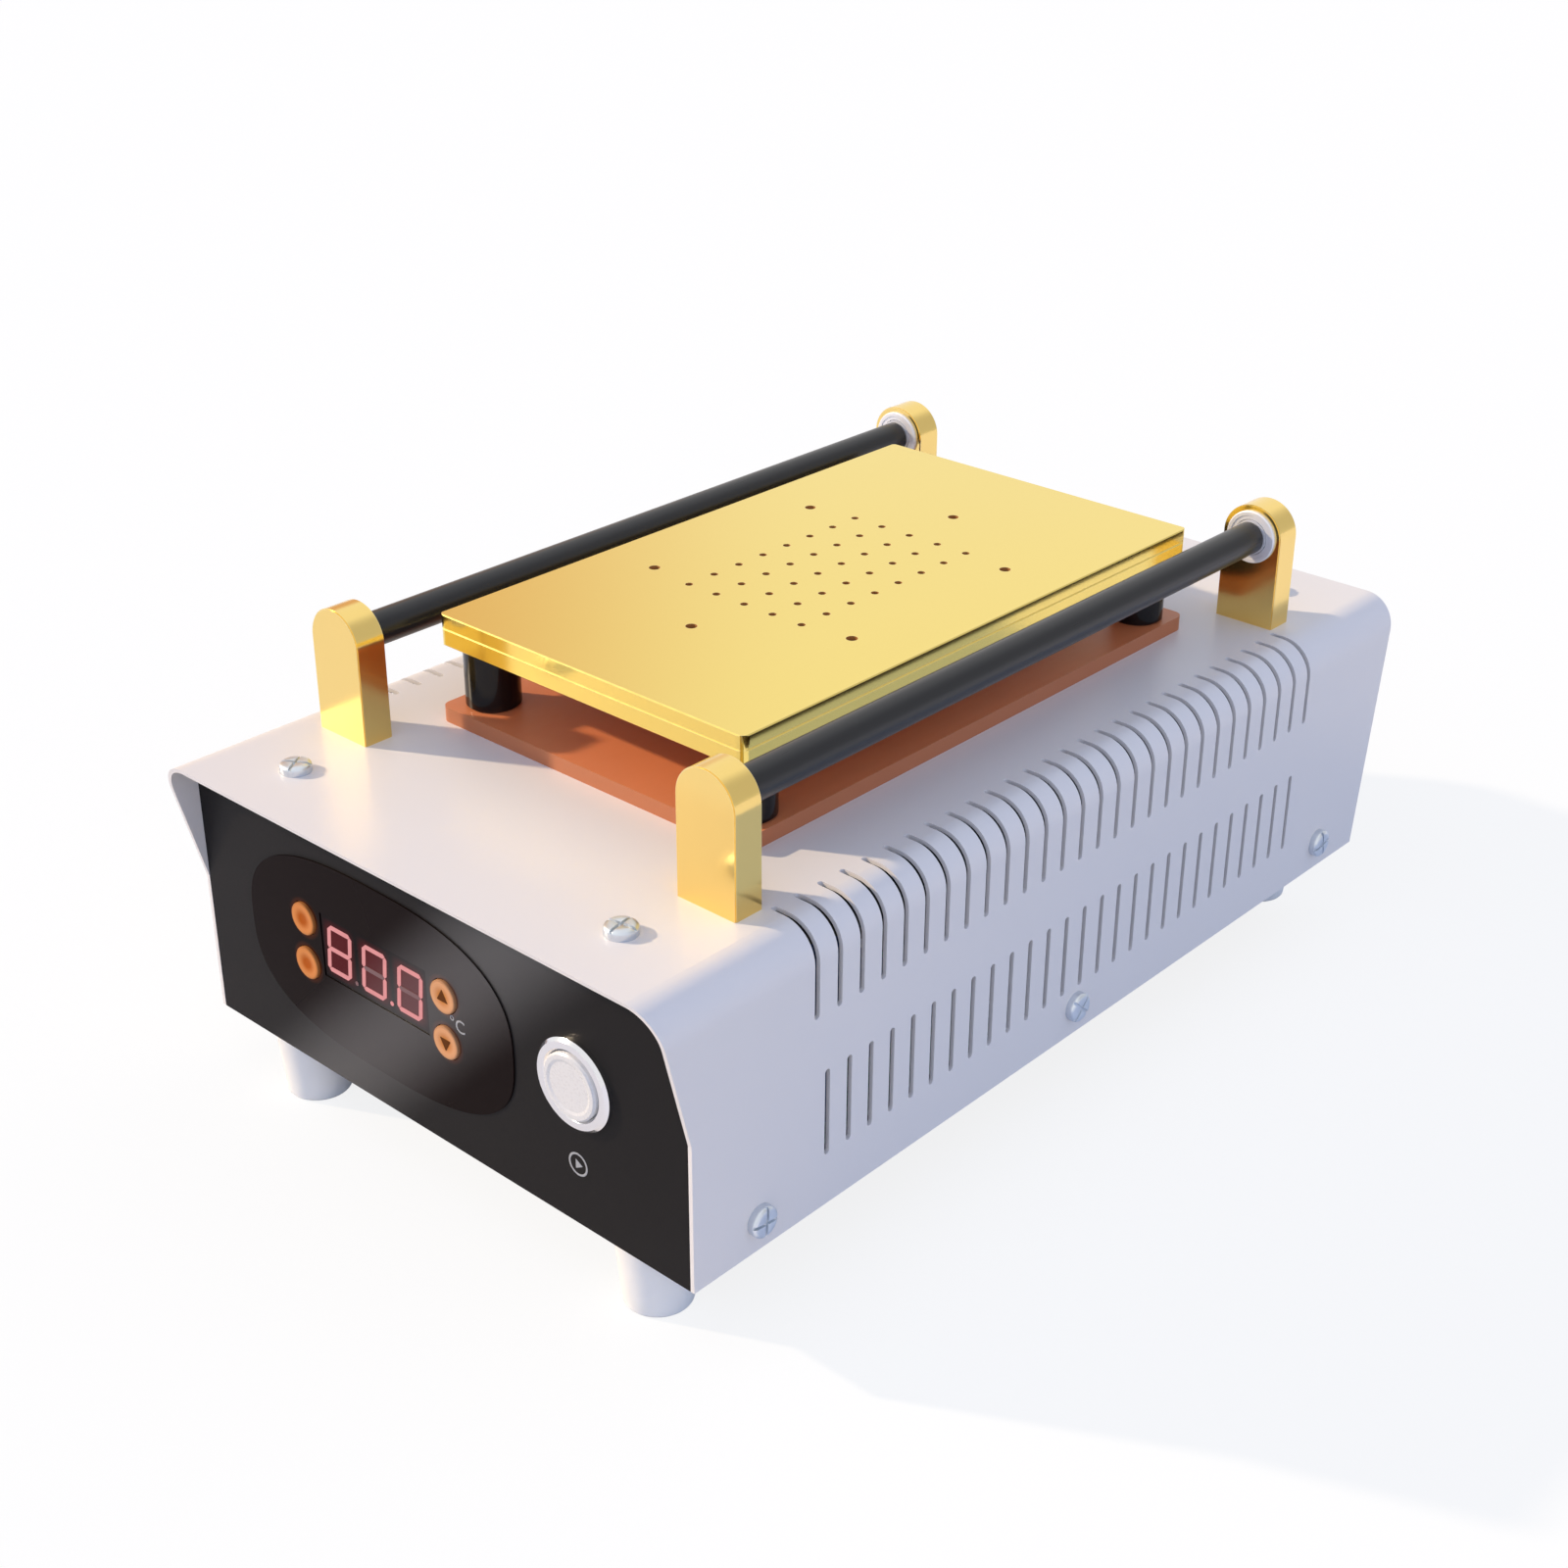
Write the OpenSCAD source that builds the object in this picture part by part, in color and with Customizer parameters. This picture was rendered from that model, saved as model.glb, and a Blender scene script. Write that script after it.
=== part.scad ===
// Bench separator for LCD screens: a heated vacuum plate on a cabinet with a built-in pump.
// X is right, Y is back and Z is up. The origin is on the table, under the middle of the cabinet.

/* [Cabinet] */
// Outer width of the cover
cover_w = 186; // [180:1:210]
// Length of the cover along its top, over both hoods
cover_l = 321; // [312:1:340]
// Length of the cabinet along its base
base_l = 301; // [296:1:305]
// Height of the cover
cover_h = 81; // [78:1:96]
// Outer radius of the long bends of the cover
bend_r = 10; // [6:0.5:12]
// Thickness of the sheet steel
sheet_t = 1.2; // [0.8:0.1:1.6]
// Height of the knee where the visor starts
knee_h = 42; // [30:1:50]
// Clearance between the cover and the chassis
cover_gap = 0.2; // [0.1:0.05:0.4]
// Height of the chassis's side flanges
flange_h = 14; // [12:0.5:14.5]
// Depth of the chassis's top lips
lip_l = 18; // [15:0.5:24]
// Distance of the rear wall from the end of the base
rear_inset = 1; // [0.5:0.1:3]

/* [Cooling slots] */
// Width of a slot
slot_w = 1.8; // [1.2:0.1:2.4]
// Distance from slot to slot
slot_pitch = 8.1; // [7:0.1:8.4]
// Number of slots in the upper row
slot_count = 28; // [20:1:28]
// How far the upper slots reach in over the top
slot_reach = 14.4; // [12:0.2:15]
// Height of the upper slots' lower ends
upper_slot_z = 56; // [50:1:62]
// Height of the lower slots' lower ends
lower_slot_z = 15; // [15:0.5:20]
// Length of the lower slots
lower_slot_l = 25; // [15:1:28]

/* [Plates] */
// Length of the suction plate
plate_l = 190; // [180:1:200]
// Width of the suction plate
plate_w = 112; // [108:1:115]
// Thickness of the suction plate
plate_t = 4; // [3:0.2:6]
// Thickness of the chamber plate
chamber_t = 5; // [4.6:0.2:8]
// Corner radius of both plates
plate_r = 2; // [0.5:0.5:5]
// Chamfer round both plates
plate_edge = 0.3; // [0.2:0.1:0.8]
// Distance of the plates behind the cabinet's middle
deck_y = 1.5; // [-2:0.5:4]
// Diameter of a suction hole
suction_d = 2.2; // [1.4:0.1:2.4]
// Distance between suction holes across
suction_dx = 10.4; // [9:0.2:11]
// Distance between suction holes along
suction_dy = 10; // [9:0.2:10.6]
// Suction holes across
suction_nx = 5; // [3:2:5]
// Suction holes along
suction_ny = 8; // [4:2:8]
// Width between the four mould holes
mould_w = 73; // [68:1:76]
// Length between the four mould holes
mould_l = 65.6; // [60:0.2:70]
// Length between the two middle mould holes
mould_mid_l = 110.8; // [104:0.2:116]
// Diameter of a mould hole
mould_d = 3.2; // [2.6:0.1:3.6]
// Width between the clamp screws
clamp_w = 86; // [84:1:90]
// Distance from one clamp screw to the next
clamp_pitch = 60; // [50:1:64]
// Diameter of a clamp screw
clamp_d = 3; // [2.5:0.5:3.5]
// Width of the seal
seal_d = 2; // [1.6:0.1:2.4]
// Depth of the vacuum chamber
chamber_depth = 1.2; // [0.8:0.1:1.6]
// Thickness of the heater mat
heater_t = 1.5; // [1:0.1:2.4]
// Diameter of the temperature probe
probe_d = 3; // [2:0.1:3.4]

/* [Board and standoffs] */
// How far the insulating board reaches beyond the plates' ends
board_end = 0.5; // [0:0.5:6]
// How far the insulating board reaches beyond the plates' sides
board_side = 1; // [0:0.5:1]
// Thickness of the insulating board
board_t = 4.4; // [3:0.2:6]
// Corner radius of the insulating board
board_r = 3; // [1:0.5:6]
// Diameter of a standoff
standoff_d = 15.4; // [12:0.2:18]
// Height of a standoff
standoff_h = 18.2; // [18:0.2:26]
// Distance of the standoffs' middles from the plates' sides
standoff_inset_x = 8.5; // [7.5:0.5:9]
// Distance of the standoffs' middles from the plates' ends
standoff_inset_y = 10.5; // [9.5:0.5:14]
// Diameter of the standoff screws
standoff_screw_d = 4; // [3:0.5:5]

/* [Rods and brackets] */
// Diameter of a rod
rod_d = 9.6; // [9:0.1:10.2]
// Distance between the rods
rod_dx = 135.8; // [135:0.2:138]
// Height of the rods over the cover
rod_h = 27.4; // [24:0.2:34]
// Free length between the brackets
rod_l = 223; // [215:1:240]
// Width of a bracket
bracket_w = 19.2; // [18:0.2:19.6]
// Thickness of a bracket
bracket_t = 9.2; // [8:0.2:12]
// Rounding of a bracket's long edges
bracket_edge = 0.3; // [0.2:0.1:0.8]
// Outer diameter of a bearing
bearing_od = 16; // [15.4:0.1:16.6]
// Bore of a bearing
bearing_id = 8; // [7.6:0.1:8.4]
// Width of a bearing
bearing_w = 5; // [4:0.2:6]
// How far a bearing stands proud of its bracket
bearing_proud = 1; // [0.4:0.1:1.4]
// Diameter of a bearing ball
ball_d = 2.4; // [2:0.1:2.6]
// Balls in a bearing
ball_count = 9; // [7:1:10]
// Distance between a bracket's two screws
bracket_screw_dx = 9; // [8:0.2:10]

/* [Front controls] */
// Thickness of the front panel
fascia_t = 0.6; // [0.4:0.1:1]
// Thickness of the gloss overlay
overlay_t = 0.4; // [0.3:0.05:0.6]
// Width of the overlay
overlay_w = 104.8; // [100:0.4:108]
// Height of the overlay
overlay_h = 56; // [50:0.5:58]
// Overlay's middle, from the panel's middle
overlay_x = -19.6; // [-22:0.2:-18]
// Overlay's middle over the base
overlay_z = 38.4; // [36:0.2:40]
// Roundness of the overlay, where 2 is an ellipse
overlay_power = 2.7; // [2.2:0.1:4]
// Diameter of a key
key_d = 9.4; // [9:0.1:11]
// Gap between the display's frame and the keys
key_room = 2.2; // [1:0.1:4]
// Distance between the key rows
key_dz = 13.5; // [13.2:0.1:15]
// How far a key stands proud of the overlay
key_proud = 0.7; // [0.6:0.1:1.4]
// Travel of a key
key_travel = 0.5; // [0.3:0.1:0.6]
// Height of a digit
digit_h = 14.4; // [12:0.2:15]
// Width of a digit
digit_w = 9.8; // [8:0.2:10]
// Distance from digit to digit
digit_pitch = 14.2; // [12:0.2:14.4]
// Lean of the digits in degrees
digit_lean = 6; // [0:1:8]
// Width of a digit's strokes
stroke_w = 1.3; // [1:0.1:1.8]
// Diameter of the start button's bezel
start_d = 24.8; // [24:0.2:26.4]
// Diameter of the start button's barrel
barrel_d = 22; // [21:0.2:22.4]
// Diameter of the start button's cap
start_cap_d = 18; // [16:0.2:19]
// Start button's middle, from the panel's middle
start_x = 55; // [54:0.5:60]
// Start button's middle over the base
start_z = 42; // [36:0.5:46]
// Travel of the start button
start_travel = 2.5; // [1.5:0.1:3]

/* [Mains inlet] */
// Distance of the inlet's middle from the cabinet's side
inlet_side = 41; // [36:1:49]
// Inlet's middle over the base
inlet_z = 40; // [36:0.5:44]
// Width of the inlet's flange
inlet_flange_w = 31; // [30:0.5:34]
// Height of the inlet's flange
inlet_flange_h = 51; // [50:0.5:54]
// Depth of the socket for the plug
socket_depth = 17; // [16:0.2:18]
// Angle that the rocker turns
rocker_swing = 18; // [12:1:20]
// Travel of the fuse drawer
drawer_travel = 10; // [8:0.5:12]

/* [Feet and screws] */
// Height of the feet
foot_h = 22; // [12:0.5:24]
// Diameter of a foot at the top
foot_top_d = 22; // [20:0.5:26]
// Diameter of a foot at the table
foot_low_d = 18; // [16:0.5:20]
// Distance of the feet's middles from the sides
foot_inset_x = 25; // [21:1:33]
// Distance of the feet's middles from the ends of the base
foot_inset_y = 12.5; // [12.5:0.5:30]
// Distance of the top screws from the sides
top_screw_inset_x = 32; // [25:1:38]
// Distance of the top screws from the ends of the base
top_screw_inset_y = 10.5; // [8:0.5:12.5]
// Distance of the end side screws from the ends of the base
side_screw_inset = 22.5; // [18:0.5:30]
// Height of the side screws
side_screw_z = 9; // [7:0.2:9.6]
// Diameter of the cover screws
cover_screw_d = 4; // [3:0.5:4]
// Diameter of the cover screws' heads
screw_head_d = 8.6; // [7:0.2:9.4]

/* [Pump and electrics] */
// Diameter of the pump motor
motor_d = 42; // [36:1:46]
// Length of the pump motor
motor_l = 62; // [50:1:64]
// Width of the pump head
head_w = 46; // [44:1:54]
// Length of the pump head
head_l = 34; // [28:1:36]
// Outer diameter of the vacuum hose
hose_d = 6; // [5.4:0.2:7]
// Bore of the vacuum hose
hose_bore = 4; // [3:0.2:4.2]
// Bend radius of the vacuum hose
hose_r = 24; // [20:0.5:27]
// Width of the transformer's core
core_w = 48; // [40:1:54]
// Length of the power board
power_board_l = 92; // [80:1:100]

/* [Hidden] */
$fn = 48;

// Gaps between pieces that are pressed, screwed or glued together
seat_gap = 0.02;
// Gap round a screw in a clearance hole
screw_gap = 0.25;
// Running gap in the bearings
run_gap = 0.05;
// Gap round a key, a cap or a drawer that slides
slide_gap = 0.25;
// Extra length of a cut beyond the wall that it goes through
over = 1;

half_w = cover_w / 2;
inner_w = cover_w - 2 * sheet_t;
inner_r = bend_r - sheet_t;
top_z = foot_h + cover_h;
panel_y = -base_l / 2;
wall_y = panel_y + fascia_t;
rear_y = base_l / 2 - rear_inset;
chassis_w = inner_w - 2 * cover_gap;
chassis_h = cover_h - sheet_t - cover_gap;
floor_z = foot_h + sheet_t;

foot_dx = cover_w - 2 * foot_inset_x;
foot_dy = base_l - 2 * foot_inset_y;
foot_floor = 4;
foot_bore_r = 4;
top_screw_dx = cover_w - 2 * top_screw_inset_x;
top_screw_dy = base_l - 2 * top_screw_inset_y;
side_screw_dy = base_l - 2 * side_screw_inset;
cover_screw_l = 2 * sheet_t + cover_gap + 5;
cover_head_h = 2.6;

board_w = plate_w + 2 * board_side;
board_l = plate_l + 2 * board_end;
standoff_dx = plate_w - 2 * standoff_inset_x;
standoff_dy = plate_l - 2 * standoff_inset_y;
board_top = top_z + board_t;
chamber_z = board_top + standoff_h;
plate_z = chamber_z + chamber_t;
chamber_w = (suction_nx - 1) * suction_dx + 8;
chamber_l = (suction_ny - 1) * suction_dy + 8;
clamp_reach = plate_t - 1;

rod_x = rod_dx / 2;
rod_z = top_z + rod_h;
bracket_h = rod_h + bracket_w / 2;
front_face_y = deck_y - rod_l / 2;
rear_face_y = deck_y + rod_l / 2;
bearing_mid = (bearing_od + bearing_id) / 4;
race_gap = 0.7;
shield_t = 0.3;
bracket_screw_d = 4;
bracket_thread = 9;

// The keys' and the digits' middles, from the overlay's middle
key_shift = -0.7;
key_rise = 0.8;
digit_rise = 2.5;
key_mid_x = overlay_x + key_shift;
key_mid_z = foot_h + overlay_z + key_rise;
digit_z = foot_h + overlay_z + digit_rise;
key_flange = 0.9;
flange_t = 0.9;
stem_r = 1.75;
module_w = 2 * digit_pitch + digit_w + 4.2;
module_h = digit_h + 4.6;
key_dx = module_w + key_d + 2 * key_room;
pcb_y = wall_y + sheet_t + 7.1;
pcb_t = 1.6;
spacer_dx = key_dx + key_d + 13;
spacer_dz = 26;
switch_h = 3.5;
stem_y = pcb_y - switch_h + 1.2;
segment_t = 0.15;
stroke_gap = 0.16;
display_sink = 0.1;

inlet_x = -(half_w - inlet_side);
inlet_y = rear_y;
inlet_t = 2.2;
inlet_body = [27, 46.6, 26];
socket = [24.6, 16.6];
socket_z = foot_h + inlet_z - 12.2;
drawer = [22.6, 6.6];
drawer_z = foot_h + inlet_z + 2.4;
drawer_l = drawer_travel + 3;
rocker = [19, 12.6];
rocker_z = foot_h + inlet_z + 15.2;
rocker_r = 8;
trunnion_r = 1.2;
trunnion_l = 0.8;
rocker_y = inlet_y + inlet_t - 3.4;

pump_axis_z = floor_z + 34;
port_z = pump_axis_z + 12;
pump_front_y = deck_y + hose_r + 13;
saddle_t = 1.5;
ring_l = 24;
leg_t = 3;
mount_h = 6;
mount_dy = 28;
mount_r = 5.5;
mount_neck_r = 3.5;
saddle_side = 12;
nipple_l = 13;
nipple_hex_h = 3;
port_l = 12;
port_collar = 3;
hose_end_gap = 0.3;
probe_reach = 18;

// Room between the chassis walls and the pieces inside
wall_room = 7;
// Room behind the front panel for the controls
control_room = 42;
base_screw_d = 3;
core_l = core_w * 0.42;
core_h = core_w * 0.84;
core_leg = core_w / 6;
core_foot = 9;
transformer_x = -(chassis_w / 2 - wall_room - core_w / 2 - core_foot);
transformer_y = panel_y + control_room + core_l / 2 + core_leg;
relay_body = [44, 34, 20];
relay_foot_l = 58;
relay_screw_dy = 48;
relay_x = -(chassis_w / 2 - 2 * wall_room - relay_body[0] / 2);
relay_y = pump_front_y - relay_foot_l / 2;
power_board_w = 56;
power_board_x = chassis_w / 2 - wall_room - power_board_w / 2;
power_board_y = panel_y + control_room + power_board_l / 2;
board_rise = 8;

function lean(p) = [p[0] + p[1] * tan(digit_lean), p[1]];
function oval(w, h, n, k) = [
    for (i = [0 : k - 1])
        let (a = 360 * i / k, c = cos(a), s = sin(a))
            [sign(c) * w / 2 * pow(abs(c), 2 / n), sign(s) * h / 2 * pow(abs(s), 2 / n)]
];

// Copies the children to both signs of x and y
module four(dx, dy) {
    for (sx = [-1, 1], sy = [-1, 1]) translate([sx * dx / 2, sy * dy / 2, 0]) children();
}

// Turns a drawing so that its Y becomes Z, and extrudes it from y0 to y1
module along_y(y0, y1) {
    translate([0, y1, 0]) rotate([90, 0, 0]) linear_extrude(y1 - y0) children();
}

// Turns a drawing so that its X becomes Y and its Y becomes Z, and extrudes it from x0 to x1
module along_x(x0, x1) {
    translate([x0, 0, 0]) rotate([90, 0, 90]) linear_extrude(x1 - x0) children();
}

// A round bar along Y from y0 to y1
module bar_y(r, y0, y1) {
    translate([0, y0, 0]) rotate([-90, 0, 0]) cylinder(r = r, h = y1 - y0);
}

// A rectangle about the origin with round corners
module round_rect(w, h, r) {
    square([w - 2 * r, h], center = true);
    square([w, h - 2 * r], center = true);
    for (sx = [-1, 1], sy = [-1, 1])
        translate([sx * (w / 2 - r), sy * (h / 2 - r)]) circle(r);
}

// A rectangle standing on the origin with two round upper corners
module arch(w, h, r) {
    flat = w - 2 * r;
    translate([-w / 2, 0]) square([w, h - r]);
    if (flat > 0.01) {
        translate([-flat / 2, 0]) square([flat, h]);
        for (s = [-1, 1]) translate([s * flat / 2, h - r]) circle(r);
    } else {
        translate([0, h - r]) circle(w / 2);
    }
}

// A slot along X between two round ends
module slot(l, w) {
    square([l - w, w], center = true);
    for (s = [-1, 1]) translate([s * (l - w) / 2, 0]) circle(d = w, $fn = 24);
}

// A pan-head screw whose head stands on the origin and whose shank points down
module pan_screw(d, l, head_d, head_h) {
    rise = head_h * 0.6;
    dome = (pow(head_d / 2, 2) + pow(rise, 2)) / (2 * rise);
    rotate_extrude() intersection() {
        square([head_d / 2, head_h]);
        translate([0, head_h - dome]) circle(dome, $fn = 96);
    }
    translate([0, 0, -l]) cylinder(d = d, h = l + head_h / 4);
}

// A slab with chamfered upper and lower rims
module edged_slab(w, l, t, r, edge) {
    linear_extrude(t) round_rect(w - 2 * edge, l - 2 * edge, r);
    translate([0, 0, edge]) linear_extrude(t - 2 * edge) round_rect(w, l, r + edge);
    for (end = [0, 1]) translate([0, 0, end * t]) mirror([0, 0, end])
        intersection() {
            slab_taper(w, l, edge, t);
            slab_side_taper(w, l, edge, t);
            linear_extrude(edge) round_rect(w, l, r + edge);
        }
}

// The chamfer along the slab's long sides
module slab_taper(w, l, edge, t) {
    along_y(-l / 2, l / 2) polygon([
        [-w / 2 + edge, 0], [w / 2 - edge, 0], [w / 2, edge], [-w / 2, edge]
    ]);
}

// The chamfer along the slab's ends
module slab_side_taper(w, l, edge, t) {
    along_x(-w / 2, w / 2) polygon([
        [-l / 2 + edge, 0], [l / 2 - edge, 0], [l / 2, edge], [-l / 2, edge]
    ]);
}

// The side view of the cover, with its visor in front and its slanted rear edge
module side_view() {
    polygon([
        [-cover_l / 2, cover_h], [-base_l / 2, knee_h], [-base_l / 2, 0],
        [base_l / 2, 0], [cover_l / 2, cover_h]
    ]);
}

function slot_y(i, n) = deck_y + (i - (n - 1) / 2) * slot_pitch;

// The upper slots start on the top, run over the bend and end on the side
module upper_slots() {
    intersection() {
        along_x(-half_w - over, half_w + over)
            for (i = [0 : slot_count - 1])
                translate([slot_y(i, slot_count), upper_slot_z + cover_h / 2])
                    rotate(90) slot(cover_h, slot_w);
        linear_extrude(2 * cover_h)
            for (i = [0 : slot_count - 1], s = [-1, 1])
                translate([s * (half_w - slot_reach + cover_w / 4), slot_y(i, slot_count)])
                    slot(cover_w / 2, slot_w);
    }
}

module lower_slots() {
    along_x(-half_w - over, half_w + over)
        for (i = [0 : slot_count - 2])
            translate([slot_y(i, slot_count - 1), lower_slot_z + lower_slot_l / 2])
                rotate(90) slot(lower_slot_l, slot_w);
}

module bracket_screw_places() {
    for (sx = [-1, 1], end = [0, 1], s = [-1, 1])
        translate([
            sx * rod_x + s * bracket_screw_dx / 2,
            end == 0 ? front_face_y - bracket_t / 2 : rear_face_y + bracket_t / 2,
            0
        ]) children();
}

module top_cover() {
    color("gainsboro") translate([0, 0, foot_h]) difference() {
        intersection() {
            along_y(-cover_l / 2, cover_l / 2) difference() {
                arch(cover_w, cover_h, bend_r);
                translate([0, -over]) arch(inner_w, cover_h - sheet_t + over, inner_r);
            }
            along_x(-half_w, half_w) side_view();
        }
        upper_slots();
        lower_slots();
        translate([0, 0, cover_h - sheet_t - over]) {
            four(top_screw_dx, top_screw_dy)
                cylinder(d = cover_screw_d + 2 * screw_gap, h = sheet_t + 2 * over);
            translate([0, deck_y, 0]) {
                four(standoff_dx, standoff_dy)
                    cylinder(d = standoff_screw_d + 2 * screw_gap, h = sheet_t + 2 * over);
                cylinder(r = grommet_neck_r() + seat_gap, h = sheet_t + 2 * over);
            }
            bracket_screw_places()
                cylinder(d = bracket_screw_d + 2 * screw_gap, h = sheet_t + 2 * over);
        }
        for (y = [-side_screw_dy / 2, 0, side_screw_dy / 2])
            translate([-half_w - over, y, side_screw_z]) rotate([0, 90, 0])
                cylinder(d = cover_screw_d + 2 * screw_gap, h = cover_w + 2 * over);
    }
}

// The chassis is one sheet: floor, front and rear walls with lips, and side flanges
module chassis() {
    window = [key_dx + key_d + 7, key_dz + key_d + 5];
    color([0.13, 0.13, 0.14]) difference() {
        union() {
            translate([-chassis_w / 2, wall_y, foot_h])
                cube([chassis_w, rear_y - wall_y, sheet_t]);
            translate([0, 0, foot_h]) {
                along_y(wall_y, wall_y + sheet_t)
                    arch(chassis_w, chassis_h, inner_r - cover_gap);
                along_y(rear_y - sheet_t, rear_y)
                    arch(chassis_w, chassis_h, inner_r - cover_gap);
            }
            for (y = [wall_y, rear_y - lip_l])
                translate([-inner_w / 2 + bend_r, y, foot_h + chassis_h - sheet_t])
                    cube([inner_w - 2 * bend_r, lip_l, sheet_t]);
            for (x = [-chassis_w / 2, chassis_w / 2 - sheet_t])
                translate([x, wall_y + flange_h, foot_h])
                    cube([sheet_t, rear_y - wall_y - 2 * flange_h, flange_h]);
        }
        translate([key_mid_x, 0, key_mid_z])
            along_y(wall_y - over, wall_y + sheet_t + over)
                square(window, center = true);
        translate([start_x, 0, foot_h + start_z])
            bar_y(barrel_d / 2 + seat_gap, wall_y - over, wall_y + sheet_t + over);
        translate([inlet_x, 0, foot_h + inlet_z])
            along_y(rear_y - sheet_t - over, rear_y + over)
                square([inlet_body[0], inlet_body[1]] + [0.4, 0.4], center = true);
        translate([0, 0, foot_h + chassis_h - sheet_t - over])
            four(top_screw_dx, top_screw_dy)
                cylinder(d = cover_screw_d + 2 * seat_gap, h = sheet_t + 2 * over);
        for (y = [-side_screw_dy / 2, 0, side_screw_dy / 2])
            translate([-half_w - over, y, foot_h + side_screw_z]) rotate([0, 90, 0])
                cylinder(d = cover_screw_d + 2 * seat_gap, h = cover_w + 2 * over);
        translate([0, 0, foot_h - over]) {
            four(foot_dx, foot_dy) cylinder(d = foot_screw_d() + 2 * seat_gap, h = sheet_t + 2 * over);
            base_screw_holes() cylinder(d = base_screw_d + 2 * screw_gap, h = sheet_t + 2 * over);
        }
    }
}

// Cuts the display window, the key holes and the start button's hole
module panel_holes(y0, y1) {
    translate([key_mid_x, 0, digit_z]) along_y(y0, y1)
        square([module_w, module_h] + [0.2, 0.2], center = true);
    key_places() bar_y(key_d / 2 + slide_gap, y0, y1);
}

module key_places() {
    for (sx = [-1, 1], sz = [-1, 1]) key_place(sx, sz) children();
}

module key_place(sx, sz) {
    translate([key_mid_x + sx * key_dx / 2, 0, key_mid_z + sz * key_dz / 2]) children();
}

module front_panel() {
    color([0.17, 0.16, 0.16]) difference() {
        translate([0, 0, foot_h]) along_y(panel_y, panel_y + fascia_t)
            arch(chassis_w, chassis_h, inner_r - cover_gap);
        panel_holes(panel_y - over, panel_y + fascia_t + over);
        translate([start_x, 0, foot_h + start_z])
            bar_y(barrel_d / 2 + seat_gap, panel_y - over, panel_y + fascia_t + over);
    }
}

module display_overlay() {
    color([0.06, 0.05, 0.06]) difference() {
        translate([overlay_x, 0, foot_h + overlay_z])
            along_y(panel_y - overlay_t, panel_y)
                polygon(oval(overlay_w, overlay_h, overlay_power, 96));
        panel_holes(panel_y - overlay_t - over, panel_y + over);
    }
}

module display_module() {
    face_y = panel_y - overlay_t + display_sink + segment_t;
    color([0.10, 0.03, 0.04]) translate([key_mid_x, 0, digit_z]) {
        along_y(face_y, pcb_y - 0.8) square([module_w, module_h], center = true);
        for (sx = [-1, 1], sz = [-1, 1])
            translate([sx * (module_w / 2 - 3), 0, sz * (module_h / 2 - 1.6)])
                bar_y(1, pcb_y - 0.8, pcb_y);
    }
}

// One stroke of a digit: a bar with pointed ends, centred at p and turned by a
module stroke(p, l, a) {
    s = stroke_w / 2;
    bar = [[-l / 2, 0], [-l / 2 + s, s], [l / 2 - s, s], [l / 2, 0], [l / 2 - s, -s], [-l / 2 + s, -s]];
    polygon([for (q = bar) lean(p + [q[0] * cos(a) - q[1] * sin(a), q[0] * sin(a) + q[1] * cos(a)])]);
}

// The strokes of a digit, clockwise from the top, with the middle one last
module digit(strokes) {
    x = digit_w / 2 - stroke_w / 2;
    z = digit_h / 2 - stroke_w / 2;
    flat = 2 * x - stroke_gap;
    tall = z - stroke_gap;
    places = [
        [[0, z], flat, 0], [[x, z / 2], tall, 90], [[x, -z / 2], tall, 90], [[0, -z], flat, 0],
        [[-x, -z / 2], tall, 90], [[-x, z / 2], tall, 90], [[0, 0], flat, 0]
    ];
    for (i = strokes) stroke(places[i][0], places[i][1], places[i][2]);
}

module point() {
    translate(lean([digit_pitch / 2, -digit_h / 2 + stroke_w / 2])) circle(d = stroke_w, $fn = 24);
}

module segments(strokes, points) {
    face_y = panel_y - overlay_t + display_sink + segment_t;
    translate([key_mid_x, 0, digit_z]) along_y(face_y - segment_t, face_y)
        for (i = [0 : 2]) translate([(i - 1) * digit_pitch, 0]) {
            digit(strokes[i]);
            if (points[i]) point();
        }
}

// The display reads 80.0
module lit_segments() {
    color([0.95, 0.45, 0.45])
        segments([[0, 1, 2, 3, 4, 5, 6], [0, 1, 2, 3, 4, 5], [0, 1, 2, 3, 4, 5]], [false, true, false]);
}

module unlit_segments() {
    color([0.35, 0.25, 0.27]) segments([[], [6], [6]], [true, false, false]);
}

module spacer_places() {
    translate([key_mid_x, 0, key_mid_z])
        for (sx = [-1, 1], sz = [-1, 1])
            translate([sx * spacer_dx / 2, 0, sz * spacer_dz / 2]) children();
}

module control_board() {
    color("darkgreen") difference() {
        translate([key_mid_x, 0, key_mid_z]) along_y(pcb_y, pcb_y + pcb_t)
            round_rect(spacer_dx + 8, spacer_dz + 8, 2);
        spacer_places() bar_y(1.5 + seat_gap, pcb_y - over, pcb_y + pcb_t + over);
    }
}

// Each spacer stands on the front wall and has a stud and a nut behind the board
module board_spacers() {
    color("silver") spacer_places() {
        bar_y(2.5, wall_y + sheet_t, pcb_y);
        bar_y(1.5, pcb_y, pcb_y + pcb_t + 3);
        translate([0, pcb_y + pcb_t, 0]) rotate([-90, 0, 0]) cylinder(r = 3, h = 2.2, $fn = 6);
    }
}

module key_switches() {
    color([0.2, 0.2, 0.22]) difference() {
        key_places() along_y(pcb_y - switch_h, pcb_y) square(6, center = true);
        key_places() bar_y(stem_r + 0.1, pcb_y - switch_h - over, stem_y + key_travel + 0.4);
    }
}

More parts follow.
